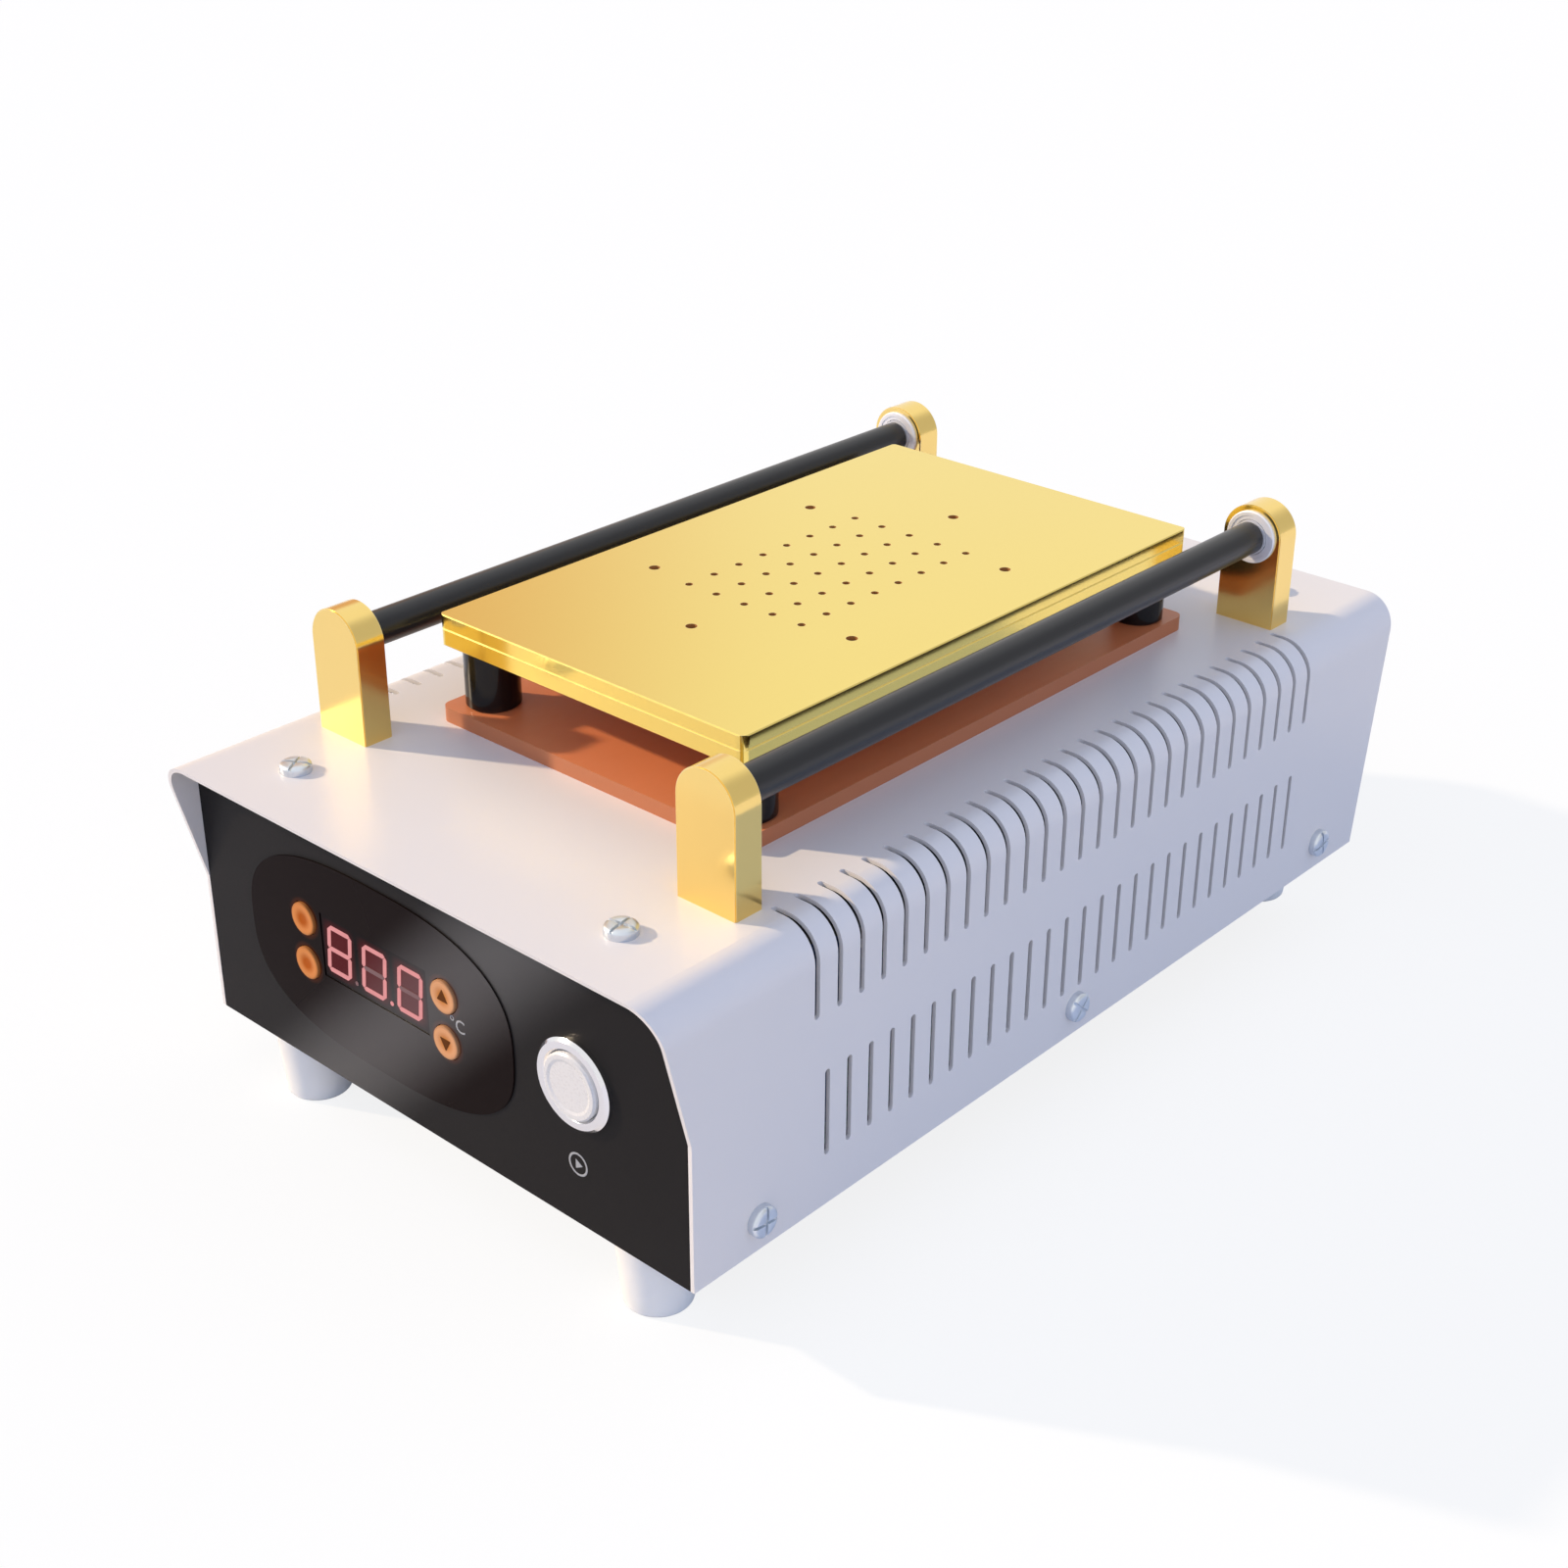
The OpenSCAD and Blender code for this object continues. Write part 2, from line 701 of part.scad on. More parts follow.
// A key has a round cap, a flange that keeps it in the panel, and a stem to its switch
module key(sx, sz) {
    front_y = panel_y - overlay_t - key_proud;
    back_y = wall_y + 0.3;
    color([0.95, 0.6, 0.25]) key_place(sx, sz) {
        translate([0, front_y, 0]) rotate([-90, 0, 0])
            rotate_extrude() polygon([
                [0, 0], [key_d / 2 - 0.4, 0], [key_d / 2, 0.4],
                [key_d / 2, back_y - front_y], [0, back_y - front_y]
            ]);
        bar_y(key_d / 2 + key_flange, back_y, back_y + flange_t);
        bar_y(stem_r, back_y + flange_t, stem_y);
    }
}

module key_upper_left() {
    key(-1, 1);
}

module key_lower_left() {
    key(-1, -1);
}

module key_up() {
    key(1, 1);
}

module key_down() {
    key(1, -1);
}

start_bezel_t = 2;
start_cap_l = 7;
start_cap_proud = 0.8;

module start_button_housing() {
    bore_end = start_cap_l - start_cap_proud + start_travel + 0.4;
    color("silver") translate([start_x, panel_y - start_bezel_t, foot_h + start_z]) rotate([-90, 0, 0])
        rotate_extrude() polygon([
            [start_cap_d / 2 + 0.15, 0.6], [start_cap_d / 2 + 0.75, 0], [start_d / 2 - 0.8, 0],
            [start_d / 2, 0.8], [start_d / 2, start_bezel_t], [barrel_d / 2, start_bezel_t],
            [barrel_d / 2, 24], [barrel_d / 2 - 1.5, 25.5], [0, 25.5], [0, bore_end],
            [start_cap_d / 2 + 0.15, bore_end]
        ]);
}

module start_button_nut() {
    color("gray") translate([start_x, 0, foot_h + start_z]) difference() {
        translate([0, wall_y + sheet_t, 0]) rotate([-90, 0, 0])
            cylinder(r = barrel_d / 2 + 4.2, h = 3.4, $fn = 6);
        bar_y(barrel_d / 2 + seat_gap, wall_y, wall_y + 8);
    }
}

module start_button_cap() {
    color("whitesmoke")
        translate([start_x, panel_y - start_bezel_t - start_cap_proud, foot_h + start_z])
            rotate([-90, 0, 0]) rotate_extrude() polygon([
                [0, 0.25], [start_cap_d / 2 - 2.4, 0.25], [start_cap_d / 2 - 1.6, 0],
                [start_cap_d / 2 - 0.5, 0], [start_cap_d / 2, 0.5],
                [start_cap_d / 2, start_cap_l], [0, start_cap_l]
            ]);
}

// The inlet is one housing with a socket for the plug, a fuse drawer and a rocker switch
module mains_inlet() {
    face_y = inlet_y + inlet_t;
    color([0.1, 0.1, 0.11]) difference() {
        union() {
            translate([inlet_x, 0, foot_h + inlet_z]) {
                along_y(inlet_y, face_y) round_rect(inlet_flange_w, inlet_flange_h, 2.5);
                along_y(inlet_y - inlet_body[2], inlet_y)
                    square([inlet_body[0], inlet_body[1]], center = true);
            }
        }
        translate([inlet_x, 0, socket_z]) along_y(face_y - socket_depth, face_y + over) socket_outline();
        translate([inlet_x, 0, drawer_z])
            along_y(face_y - drawer_l - 1, face_y + over)
                square(drawer + [0.5, 0.5], center = true);
        translate([inlet_x, 0, rocker_z])
            along_y(rocker_y - rocker_r - 0.8, face_y + over)
                square(rocker + [0.6, 0.6], center = true);
        translate([inlet_x, rocker_y, rocker_z])
            cylinder(r = trunnion_r + run_gap, h = rocker[1] + 2 * trunnion_l + 0.4, center = true);
        inlet_pin_places() along_y(inlet_y - inlet_body[2] - over, face_y)
            square([2 + 2 * seat_gap, 4 + 2 * seat_gap], center = true);
    }
}

// The socket's lower corners are cut off, so that the plug goes in one way round
module socket_outline() {
    polygon([
        [-socket[0] / 2, socket[1] / 2], [socket[0] / 2, socket[1] / 2],
        [socket[0] / 2, -socket[1] / 2 + 4.5], [socket[0] / 2 - 4.5, -socket[1] / 2],
        [-socket[0] / 2 + 4.5, -socket[1] / 2], [-socket[0] / 2, -socket[1] / 2 + 4.5]
    ]);
}

module inlet_pin_places() {
    for (p = [[-7, 2], [7, 2], [0, -2]])
        translate([inlet_x + p[0], 0, socket_z + p[1]]) children();
}

module inlet_pins() {
    color("silver") inlet_pin_places()
        along_y(inlet_y - inlet_body[2] - 6, inlet_y + inlet_t - 4) square([2, 4], center = true);
}

module fuse_drawer() {
    face_y = inlet_y + inlet_t;
    color([0.16, 0.16, 0.17]) translate([inlet_x, 0, drawer_z]) difference() {
        union() {
            along_y(face_y - drawer_l, face_y) square(drawer, center = true);
            along_y(face_y, face_y + 1.2) square([drawer[0] - 3, 2], center = true);
        }
        translate([-10.2, face_y - 10, -2.7]) cube([20.4, 6, drawer[1]]);
    }
}

module fuse() {
    color("lightgray") translate([inlet_x, inlet_y + inlet_t - 7, drawer_z - 0.1])
        rotate([0, 90, 0]) cylinder(r = 2.58, h = 20, center = true);
}

// The rocker turns on two trunnions, and is tilted to its off side at rest
module power_rocker() {
    end_x = rocker[0] / 2 - 0.6;
    color([0.75, 0.1, 0.1]) translate([inlet_x, rocker_y, rocker_z]) rotate(-rocker_swing / 2) {
        cylinder(r = trunnion_r, h = rocker[1] + 2 * trunnion_l, center = true);
        translate([0, 0, -rocker[1] / 2]) linear_extrude(rocker[1]) intersection() {
            circle(rocker_r + 1);
            polygon([[-end_x, -3], [end_x, -3], [end_x, 4.4], [2.5, 3.3], [-2.5, 3.3], [-end_x, 4.4]]);
        }
    }
}

function foot_screw_d() = 4;

module rubber_feet() {
    color([0.8, 0.8, 0.8]) four(foot_dx, foot_dy) difference() {
        rotate_extrude() polygon([
            [0, 0], [foot_low_d / 2 - 1.2, 0], [foot_low_d / 2, 1.2],
            [foot_top_d / 2, foot_h - 1], [foot_top_d / 2 - 0.6, foot_h], [0, foot_h]
        ]);
        translate([0, 0, -over]) cylinder(r = foot_bore_r, h = foot_h - foot_floor + over);
        cylinder(d = foot_screw_d() + 2 * seat_gap, h = foot_h + over);
    }
}

module foot_screws() {
    color("silver") four(foot_dx, foot_dy) translate([0, 0, foot_h - foot_floor]) mirror([0, 0, 1])
        pan_screw(foot_screw_d(), foot_floor + sheet_t + 3, 2 * foot_bore_r - 1, 2.4);
}

// The arch-topped block that holds a rod's bearing, drawn with its inner face at y0
// and its outer face on the side that out points to
module rod_bracket(x, y0, out) {
    y1 = y0 + out * bracket_t;
    low = min(y0, y1);
    high = max(y0, y1);
    seat = bearing_w - bearing_proud;
    color([0.93, 0.8, 0.42]) difference() {
        translate([x, 0, top_z]) {
            along_y(low + bracket_edge, high - bracket_edge)
                arch(bracket_w, bracket_h, bracket_w / 2);
            along_y(low, high) arch(
                bracket_w - 2 * bracket_edge, bracket_h - bracket_edge,
                bracket_w / 2 - bracket_edge
            );
        }
        translate([x, 0, rod_z]) {
            bar_y(bearing_od / 2 + seat_gap, min(y0 - out * over, y0 + out * seat),
                max(y0 - out * over, y0 + out * seat));
            bar_y(bearing_mid + race_gap, min(y0, y0 + out * (seat + 1.5)),
                max(y0, y0 + out * (seat + 1.5)));
        }
        for (s = [-1, 1])
            translate([x + s * bracket_screw_dx / 2, (y0 + y1) / 2, top_z - over])
                cylinder(d = bracket_screw_d + 2 * seat_gap, h = bracket_thread + 1 + over);
    }
}

module front_left_bracket() {
    rod_bracket(-rod_x, front_face_y, -1);
}

module front_right_bracket() {
    rod_bracket(rod_x, front_face_y, -1);
}

module rear_left_bracket() {
    rod_bracket(-rod_x, rear_face_y, 1);
}

module rear_right_bracket() {
    rod_bracket(rod_x, rear_face_y, 1);
}

module bracket_screws() {
    color("silver") bracket_screw_places() translate([0, 0, top_z - sheet_t]) mirror([0, 0, 1])
        pan_screw(bracket_screw_d, sheet_t + bracket_thread, 7, 2.6);
}

// Puts a bearing's drawing, made about Z from 0 up to bearing_w, into each bracket
module bearing_places(sides) {
    for (s = sides) {
        translate([s * rod_x, front_face_y + bearing_proud, rod_z]) rotate([90, 0, 0]) children();
        translate([s * rod_x, rear_face_y - bearing_proud, rod_z]) rotate([-90, 0, 0]) children();
    }
}

// The round groove in which the balls run
module ball_track() {
    translate([0, 0, bearing_w / 2])
        rotate_extrude() translate([bearing_mid, 0]) circle(d = ball_d + 2 * run_gap, $fn = 32);
}

module outer_ring() {
    difference() {
        rotate_extrude() polygon([
            [bearing_mid + race_gap, 0], [bearing_od / 2 - 0.3, 0], [bearing_od / 2, 0.3],
            [bearing_od / 2, bearing_w - 0.3], [bearing_od / 2 - 0.3, bearing_w],
            [bearing_mid + race_gap, bearing_w]
        ]);
        ball_track();
    }
}

module inner_ring() {
    difference() {
        cylinder(r = bearing_mid - race_gap, h = bearing_w);
        translate([0, 0, -over]) cylinder(d = bearing_id, h = bearing_w + 2 * over);
        ball_track();
    }
}

module bearing_outer_rings() {
    color("lightsteelblue") bearing_places([-1, 1]) outer_ring();
}

module bearing_shields() {
    color("silver") bearing_places([-1, 1]) for (z = [0.2, bearing_w - 0.2 - shield_t])
        translate([0, 0, z]) difference() {
            cylinder(r = bearing_mid + race_gap - seat_gap, h = shield_t);
            translate([0, 0, -over]) cylinder(r = bearing_mid - race_gap + 0.2, h = 3);
        }
}

module bearing_balls() {
    color("white") bearing_places([-1, 1]) for (i = [0 : ball_count - 1])
        rotate(i * 360 / ball_count) translate([bearing_mid, 0, bearing_w / 2])
            sphere(d = ball_d, $fn = 24);
}

module left_inner_rings() {
    color("lightsteelblue") bearing_places([-1]) inner_ring();
}

module right_inner_rings() {
    color("lightsteelblue") bearing_places([1]) inner_ring();
}

// A rod is turned down at both ends, where it sits in its bearings
module guide_rod(x) {
    body = rod_l / 2 - bearing_proud - 0.05;
    journal = rod_l / 2 - bearing_proud + bearing_w + 0.4;
    r = bearing_id / 2 - seat_gap;
    color([0.16, 0.16, 0.17]) translate([x, deck_y, rod_z]) rotate([-90, 0, 0])
        rotate_extrude() polygon([
            [0, -journal], [r - 0.4, -journal], [r, 0.4 - journal], [r, -body],
            [rod_d / 2 - 0.4, -body], [rod_d / 2, 0.4 - body], [rod_d / 2, body - 0.4],
            [rod_d / 2 - 0.4, body], [r, body], [r, journal - 0.4], [r - 0.4, journal], [0, journal]
        ]);
}

module left_rod() {
    guide_rod(-rod_x);
}

module right_rod() {
    guide_rod(rod_x);
}

module mould_places() {
    four(mould_w, mould_l) children();
    for (s = [-1, 1]) translate([0, s * mould_mid_l / 2, 0]) children();
}

module clamp_places() {
    for (sx = [-1, 1], i = [-1, 0, 1])
        translate([sx * clamp_w / 2, i * clamp_pitch, 0]) children();
}

module suction_plate() {
    color([0.95, 0.86, 0.52]) translate([0, deck_y, plate_z]) difference() {
        edged_slab(plate_w, plate_l, plate_t, plate_r, plate_edge);
        for (i = [0 : suction_nx - 1], j = [0 : suction_ny - 1])
            translate([
                (i - (suction_nx - 1) / 2) * suction_dx, (j - (suction_ny - 1) / 2) * suction_dy, -over
            ]) cylinder(d = suction_d, h = plate_t + 2 * over, $fn = 24);
        mould_places() translate([0, 0, -over])
            cylinder(d = mould_d, h = plate_t + 2 * over, $fn = 32);
        clamp_places() translate([0, 0, -over])
            cylinder(d = clamp_d, h = clamp_reach + over, $fn = 32);
    }
}

// The chamber plate has the vacuum chamber, a seal groove, screw seats and the probe's bore
module chamber_plate() {
    color([0.85, 0.7, 0.36]) translate([0, deck_y, chamber_z]) difference() {
        edged_slab(plate_w, plate_l, chamber_t, plate_r, plate_edge);
        translate([0, 0, chamber_t - chamber_depth])
            linear_extrude(chamber_depth + over) round_rect(chamber_w, chamber_l, 4);
        translate([0, 0, chamber_t - seal_d * 0.8]) seal_ring(seal_d * 0.8 + over, seat_gap);
        clamp_places() translate([0, 0, -over]) {
            cylinder(d = clamp_d + 2 * screw_gap, h = chamber_t + 2 * over, $fn = 32);
            cylinder(d = clamp_head_d() + 2 * screw_gap, h = clamp_head_h() + 0.2 + over);
        }
        four(standoff_dx, standoff_dy) translate([0, 0, -over])
            cylinder(d = standoff_screw_d + 2 * seat_gap, h = chamber_t - 1 + over);
        translate([0, 0, -over]) cylinder(r = 2.5 + seat_gap, h = chamber_t + over);
        translate([probe_x(), 0, chamber_t / 2])
            bar_y(probe_d / 2 + seat_gap, plate_l / 2 - probe_reach, plate_l / 2 + over);
    }
}

function clamp_head_d() = clamp_d * 1.75;
function clamp_head_h() = 2.2;
function probe_x() = standoff_dx / 2 - 20;

// A band of the seal's width round the chamber, with its inner rim 1.4 mm outside it
module seal_ring(h, gap) {
    w = chamber_w + 2.8;
    l = chamber_l + 2.8;
    linear_extrude(h) difference() {
        round_rect(w + 2 * seal_d + 2 * gap, l + 2 * seal_d + 2 * gap, 5 + seal_d);
        round_rect(w - 2 * gap, l - 2 * gap, 5);
    }
}

module chamber_seal() {
    color([0.7, 0.25, 0.15]) translate([0, deck_y, plate_z - seal_d * 0.8]) seal_ring(seal_d * 0.8, 0);
}

// The clamp screws' heads are sunk into the chamber plate, and their ends stop inside the suction plate
module clamp_screws() {
    reach = chamber_t - clamp_head_h() + clamp_reach - 0.3;
    color("silver") translate([0, deck_y, chamber_z + clamp_head_h()]) clamp_places()
        mirror([0, 0, 1]) {
            cylinder(d = clamp_head_d(), h = clamp_head_h());
            translate([0, 0, -reach]) cylinder(d = clamp_d - 2 * seat_gap, h = reach + 1);
        }
}

module heater_mat() {
    color([0.75, 0.3, 0.12]) translate([0, deck_y, chamber_z - heater_t]) difference() {
        linear_extrude(heater_t)
            round_rect(plate_w - 12, standoff_dy - standoff_d - 6, 3);
        translate([0, 0, -over]) {
            cylinder(r = 8, h = heater_t + 2 * over);
            clamp_places() cylinder(d = clamp_head_d() + 2, h = heater_t + 2 * over);
        }
    }
}

module temperature_probe() {
    color("silver") translate([probe_x(), deck_y, chamber_z + chamber_t / 2]) {
        bar_y(probe_d / 2, plate_l / 2 - probe_reach + 0.5, plate_l / 2 + 4);
        bar_y(probe_d / 2 + 0.6, plate_l / 2 + 0.2, plate_l / 2 + 2.2);
    }
}

module standoffs() {
    color([0.08, 0.08, 0.09]) translate([0, deck_y, board_top]) four(standoff_dx, standoff_dy)
        difference() {
            rotate_extrude() polygon([
                [0, 0], [standoff_d / 2 - 0.5, 0], [standoff_d / 2, 0.5],
                [standoff_d / 2, standoff_h - 0.5], [standoff_d / 2 - 0.5, standoff_h], [0, standoff_h]
            ]);
            translate([0, 0, -over])
                cylinder(d = standoff_screw_d + 2 * screw_gap, h = standoff_h + 2 * over);
        }
}

// These screws go up through the cover, the board and the standoffs into the chamber plate
module standoff_screws() {
    reach = sheet_t + board_t + standoff_h + chamber_t - 1.6;
    color("silver") translate([0, deck_y, top_z - sheet_t]) four(standoff_dx, standoff_dy)
        mirror([0, 0, 1]) pan_screw(standoff_screw_d, reach, 7.5, 2.6);
}

module insulating_board() {
    color([0.8, 0.43, 0.24]) translate([0, deck_y, top_z]) difference() {
        linear_extrude(board_t) round_rect(board_w, board_l, board_r);
        translate([0, 0, -over]) {
            four(standoff_dx, standoff_dy)
                cylinder(d = standoff_screw_d + 2 * screw_gap, h = board_t + 2 * over);
            cylinder(r = grommet_r() + 0.6, h = board_t + 2 * over);
        }
    }
}

function grommet_neck_r() = hose_d / 2 + 1.6;
function grommet_r() = grommet_neck_r() + 1.6;

// The rubber ring that guards the hose where it goes through the cover
module hose_grommet() {
    color([0.12, 0.12, 0.12]) translate([0, deck_y, top_z - sheet_t / 2]) rotate_extrude() polygon([
        [hose_d / 2 + seat_gap, -2.6], [grommet_r() - 0.6, -2.6], [grommet_r(), -2],
        [grommet_r(), -sheet_t / 2], [grommet_neck_r(), -sheet_t / 2],
        [grommet_neck_r(), sheet_t / 2], [grommet_r(), sheet_t / 2], [grommet_r(), 2],
        [grommet_r() - 0.6, 2.6], [hose_d / 2 + seat_gap, 2.6]
    ]);
}

// A brass nipple is screwed into the chamber plate and carries the hose on its barbs
module vacuum_nipple() {
    barb = hose_bore / 2 - seat_gap;
    color([0.8, 0.62, 0.25]) translate([0, deck_y, chamber_z]) mirror([0, 0, 1]) difference() {
        union() {
            translate([0, 0, -(chamber_t - chamber_depth)])
                cylinder(r = 2.5, h = chamber_t - chamber_depth);
            cylinder(r = 5.2, h = nipple_hex_h, $fn = 6);
            cylinder(r = barb, h = nipple_l);
        }
        translate([0, 0, -chamber_t]) cylinder(r = barb - 0.8, h = chamber_t + nipple_l + over);
    }
}

// The hose hangs from the nipple, turns to the back and ends on the pump's port
module vacuum_hose() {
    turn_z = port_z + hose_r;
    color([0.88, 0.88, 0.86]) {
        translate([0, deck_y, turn_z]) tube(chamber_z - nipple_hex_h - hose_end_gap - turn_z);
        translate([0, deck_y + hose_r, turn_z]) rotate([0, 90, 0]) rotate([0, 0, -90])
            rotate_extrude(angle = 90) translate([hose_r, 0]) difference() {
                circle(d = hose_d);
                circle(d = hose_bore);
            }
        translate([0, deck_y + hose_r, port_z]) rotate([-90, 0, 0])
            tube(pump_front_y - deck_y - hose_r - port_collar - hose_end_gap);
    }
}

module tube(h) {
    linear_extrude(h) difference() {
        circle(d = hose_d);
        circle(d = hose_bore);
    }
}

// The pump's head: a body, a valve plate with screws, and an inlet and an outlet port
module pump_head() {
    barb = hose_bore / 2 - seat_gap;
    color([0.2, 0.2, 0.22]) {
        translate([0, 0, pump_axis_z]) {
            along_y(pump_front_y + 8, pump_front_y + head_l) round_rect(head_w, head_w, 5);
            along_y(pump_front_y, pump_front_y + 8) round_rect(head_w - 4, head_w - 4, 7);
        }
        translate([0, 0, port_z]) {
            bar_y(barb, pump_front_y - port_l, pump_front_y);
            bar_y(4, pump_front_y - port_collar, pump_front_y);
        }
        translate([0, 0, 2 * pump_axis_z - port_z]) {
            bar_y(barb, pump_front_y - port_l, pump_front_y);
            bar_y(4, pump_front_y - port_collar, pump_front_y);
        }
        for (sx = [-1, 1], sz = [-1, 1])
            translate([sx * (head_w / 2 - 7), 0, pump_axis_z + sz * (head_w / 2 - 7)])
                bar_y(2.4, pump_front_y - 1.8, pump_front_y);
    }
}

module pump_motor() {
    y0 = pump_front_y + head_l;
    color("silver") translate([0, 0, pump_axis_z]) {
        bar_y(motor_d / 2, y0, y0 + motor_l);
        bar_y(motor_d / 2 - 4, y0 + motor_l, y0 + motor_l + 2);
        bar_y(5, y0 + motor_l + 2, y0 + motor_l + 5);
        for (s = [-1, 1]) translate([s * (motor_d / 2 - 9), 0, 0])
            along_y(y0 + motor_l + 2, y0 + motor_l + 8) square([0.8, 4.8], center = true);
    }
}

function saddle_z() = floor_z + mount_h;

// The saddle carries the pump: a base on rubber mounts, two legs and a ring round the motor
module pump_saddle() {
    mid_y = pump_front_y + head_l + motor_l / 2;
    y0 = mid_y - ring_l / 2;
    y1 = mid_y + ring_l / 2;
    color("gray") difference() {
        union() {
            translate([0, mid_y, saddle_z()]) linear_extrude(saddle_t)
                round_rect(saddle_w(), mount_dy + saddle_side, 3);
            translate([0, 0, pump_axis_z]) bar_y(motor_d / 2 + saddle_t, y0, y1);
            for (s = [-1, 1]) translate([s * motor_d / 3 - leg_t / 2, y0, saddle_z()])
                cube([leg_t, ring_l, pump_axis_z - saddle_z()]);
        }
        translate([0, 0, pump_axis_z]) bar_y(motor_d / 2 + seat_gap, y0 - over, y1 + over);
        mount_places() translate([0, 0, saddle_z() - over])
            cylinder(r = mount_neck_r + seat_gap, h = saddle_t + 2 * over);
    }
}

function saddle_w() = motor_d + 2 * (saddle_t + mount_r + 7.5);

module mount_places() {
    translate([0, pump_front_y + head_l + motor_l / 2, 0])
        four(saddle_w() - saddle_side, mount_dy) children();
}

// Rubber bushes that keep the pump's shake off the floor
module pump_mounts() {
    color([0.12, 0.12, 0.12]) mount_places() translate([0, 0, floor_z]) rotate_extrude() polygon([
        [base_screw_d / 2 + seat_gap, 0], [mount_r, 0], [mount_r, mount_h], [mount_neck_r, mount_h],
        [mount_neck_r, mount_h + saddle_t], [mount_r, mount_h + saddle_t],
        [mount_r, mount_h + saddle_t + 2], [base_screw_d / 2 + seat_gap, mount_h + saddle_t + 2]
    ]);
}

// The transformer's core stands on two feet and has two windows for the coil
module transformer_core() {
    color([0.35, 0.36, 0.38]) translate([transformer_x, transformer_y, floor_z]) difference() {
        union() {
            along_y(-core_l / 2, core_l / 2)
                translate([-core_w / 2, 0]) square([core_w, core_h]);
            translate([-core_w / 2 - core_foot, -core_l / 2, 0])
                cube([core_w + 2 * core_foot, core_l, 2]);
        }
        for (s = [-1, 1]) along_y(-core_l / 2 - over, core_l / 2 + over)
            translate([s * core_leg * 1.5, core_h / 2])
                square([core_leg, core_h - 2 * core_leg], center = true);
        core_screw_places() translate([0, 0, -over])
            cylinder(d = base_screw_d + 2 * screw_gap, h = 2 + 2 * over);
    }
}

module core_screw_places() {
    for (s = [-1, 1]) translate([s * (core_w / 2 + core_foot / 2), 0, 0]) children();
}

module transformer_coil() {
    gap = 0.2;
    color([0.85, 0.7, 0.2])
        translate([transformer_x, transformer_y, floor_z + core_leg + gap])
            linear_extrude(core_h - 2 * core_leg - 2 * gap) difference() {
                round_rect(4 * core_leg - 2 * gap, core_l + 2 * core_leg, core_leg * 0.6);
                square([2 * core_leg + 2 * gap, core_l + 2 * gap], center = true);
            }
}

module heater_relay() {
    foot_t = 3;
    color([0.85, 0.84, 0.78]) translate([relay_x, relay_y, floor_z]) difference() {
        union() {
            linear_extrude(relay_body[2]) round_rect(relay_body[0], relay_body[1], 2);
            linear_extrude(foot_t) round_rect(relay_body[0], relay_foot_l, 2);
        }
        relay_screw_places() translate([0, 0, -over])
            cylinder(d = base_screw_d + 2 * screw_gap, h = foot_t + 2 * over);
    }
}

module relay_screw_places() {
    for (s = [-1, 1]) translate([0, s * relay_screw_dy / 2, 0]) children();
}

module power_board_corners() {
    four(power_board_w - 8, power_board_l - 8) children();
}

module power_board() {
    color("darkgreen") translate([power_board_x, power_board_y, floor_z + board_rise]) difference() {
        linear_extrude(pcb_t) round_rect(power_board_w, power_board_l, 2);
        power_board_corners() translate([0, 0, -over])
            cylinder(d = base_screw_d + 2 * seat_gap, h = pcb_t + 2 * over);
    }
}

// What stands on the power board: a relay, two capacitors, a terminal block and a heat sink
module power_board_parts() {
    relay = [19, 15, 15];
    capacitor = [10, 16];
    terminal = [40, 10, 10];
    fin = [1.6, 14, 22];
    fin_pitch = 6;
    fin_count = 5;
    side_x = power_board_w / 2 - 4;
    row_y = power_board_l / 2 - 20;
    sink_l = (fin_count - 1) * fin_pitch + fin[0];
    color([0.15, 0.3, 0.6])
        translate([power_board_x, power_board_y, floor_z + board_rise + pcb_t]) {
            translate([-side_x, -row_y - relay[1] / 2, 0]) cube(relay);
            for (s = [0, 1])
                translate([side_x - capacitor[0] * (0.5 + 1.3 * s), -row_y, 0])
                    cylinder(d = capacitor[0], h = capacitor[1]);
            translate([-side_x, row_y - terminal[1] / 2, 0]) cube(terminal);
            for (i = [0 : fin_count - 1])
                translate([i * fin_pitch - sink_l / 2, 0, 0]) cube(fin);
            translate([-sink_l / 2, -fin[0] / 2, 0]) cube([sink_l, fin[0], fin[2]]);
        }
}

// One screw from below: a head under the floor, a shank and a nut or a spacer above
module base_screw(reach, spacer) {
    translate([0, 0, foot_h]) {
        mirror([0, 0, 1]) pan_screw(base_screw_d, sheet_t + reach, 5.5, 1.8);
        translate([0, 0, sheet_t + reach - 3]) cylinder(r = 3, h = 2.4, $fn = 6);
        if (spacer > 0) translate([0, 0, sheet_t]) cylinder(r = 3, h = spacer);
    }
}

// The screws and spacers that hold the pump, the transformer, the relay and the power board
module base_screws() {
    color("silver") {
        translate([transformer_x, transformer_y, 0]) core_screw_places() base_screw(5, 0);
        translate([relay_x, relay_y, 0]) relay_screw_places() base_screw(6, 0);
        mount_places() base_screw(mount_h + saddle_t + 5, 0);
        translate([power_board_x, power_board_y, 0])
            power_board_corners() base_screw(board_rise + pcb_t + 3, board_rise);
    }
}

// The holes for them in the floor
module base_screw_holes() {
    translate([transformer_x, transformer_y, 0]) core_screw_places() children();
    translate([relay_x, relay_y, 0]) relay_screw_places() children();
    mount_places() children();
    translate([power_board_x, power_board_y, 0]) power_board_corners() children();
}

module top_screws() {
    color("silver") translate([0, 0, top_z]) four(top_screw_dx, top_screw_dy)
        pan_screw(cover_screw_d, cover_screw_l, screw_head_d, cover_head_h);
}

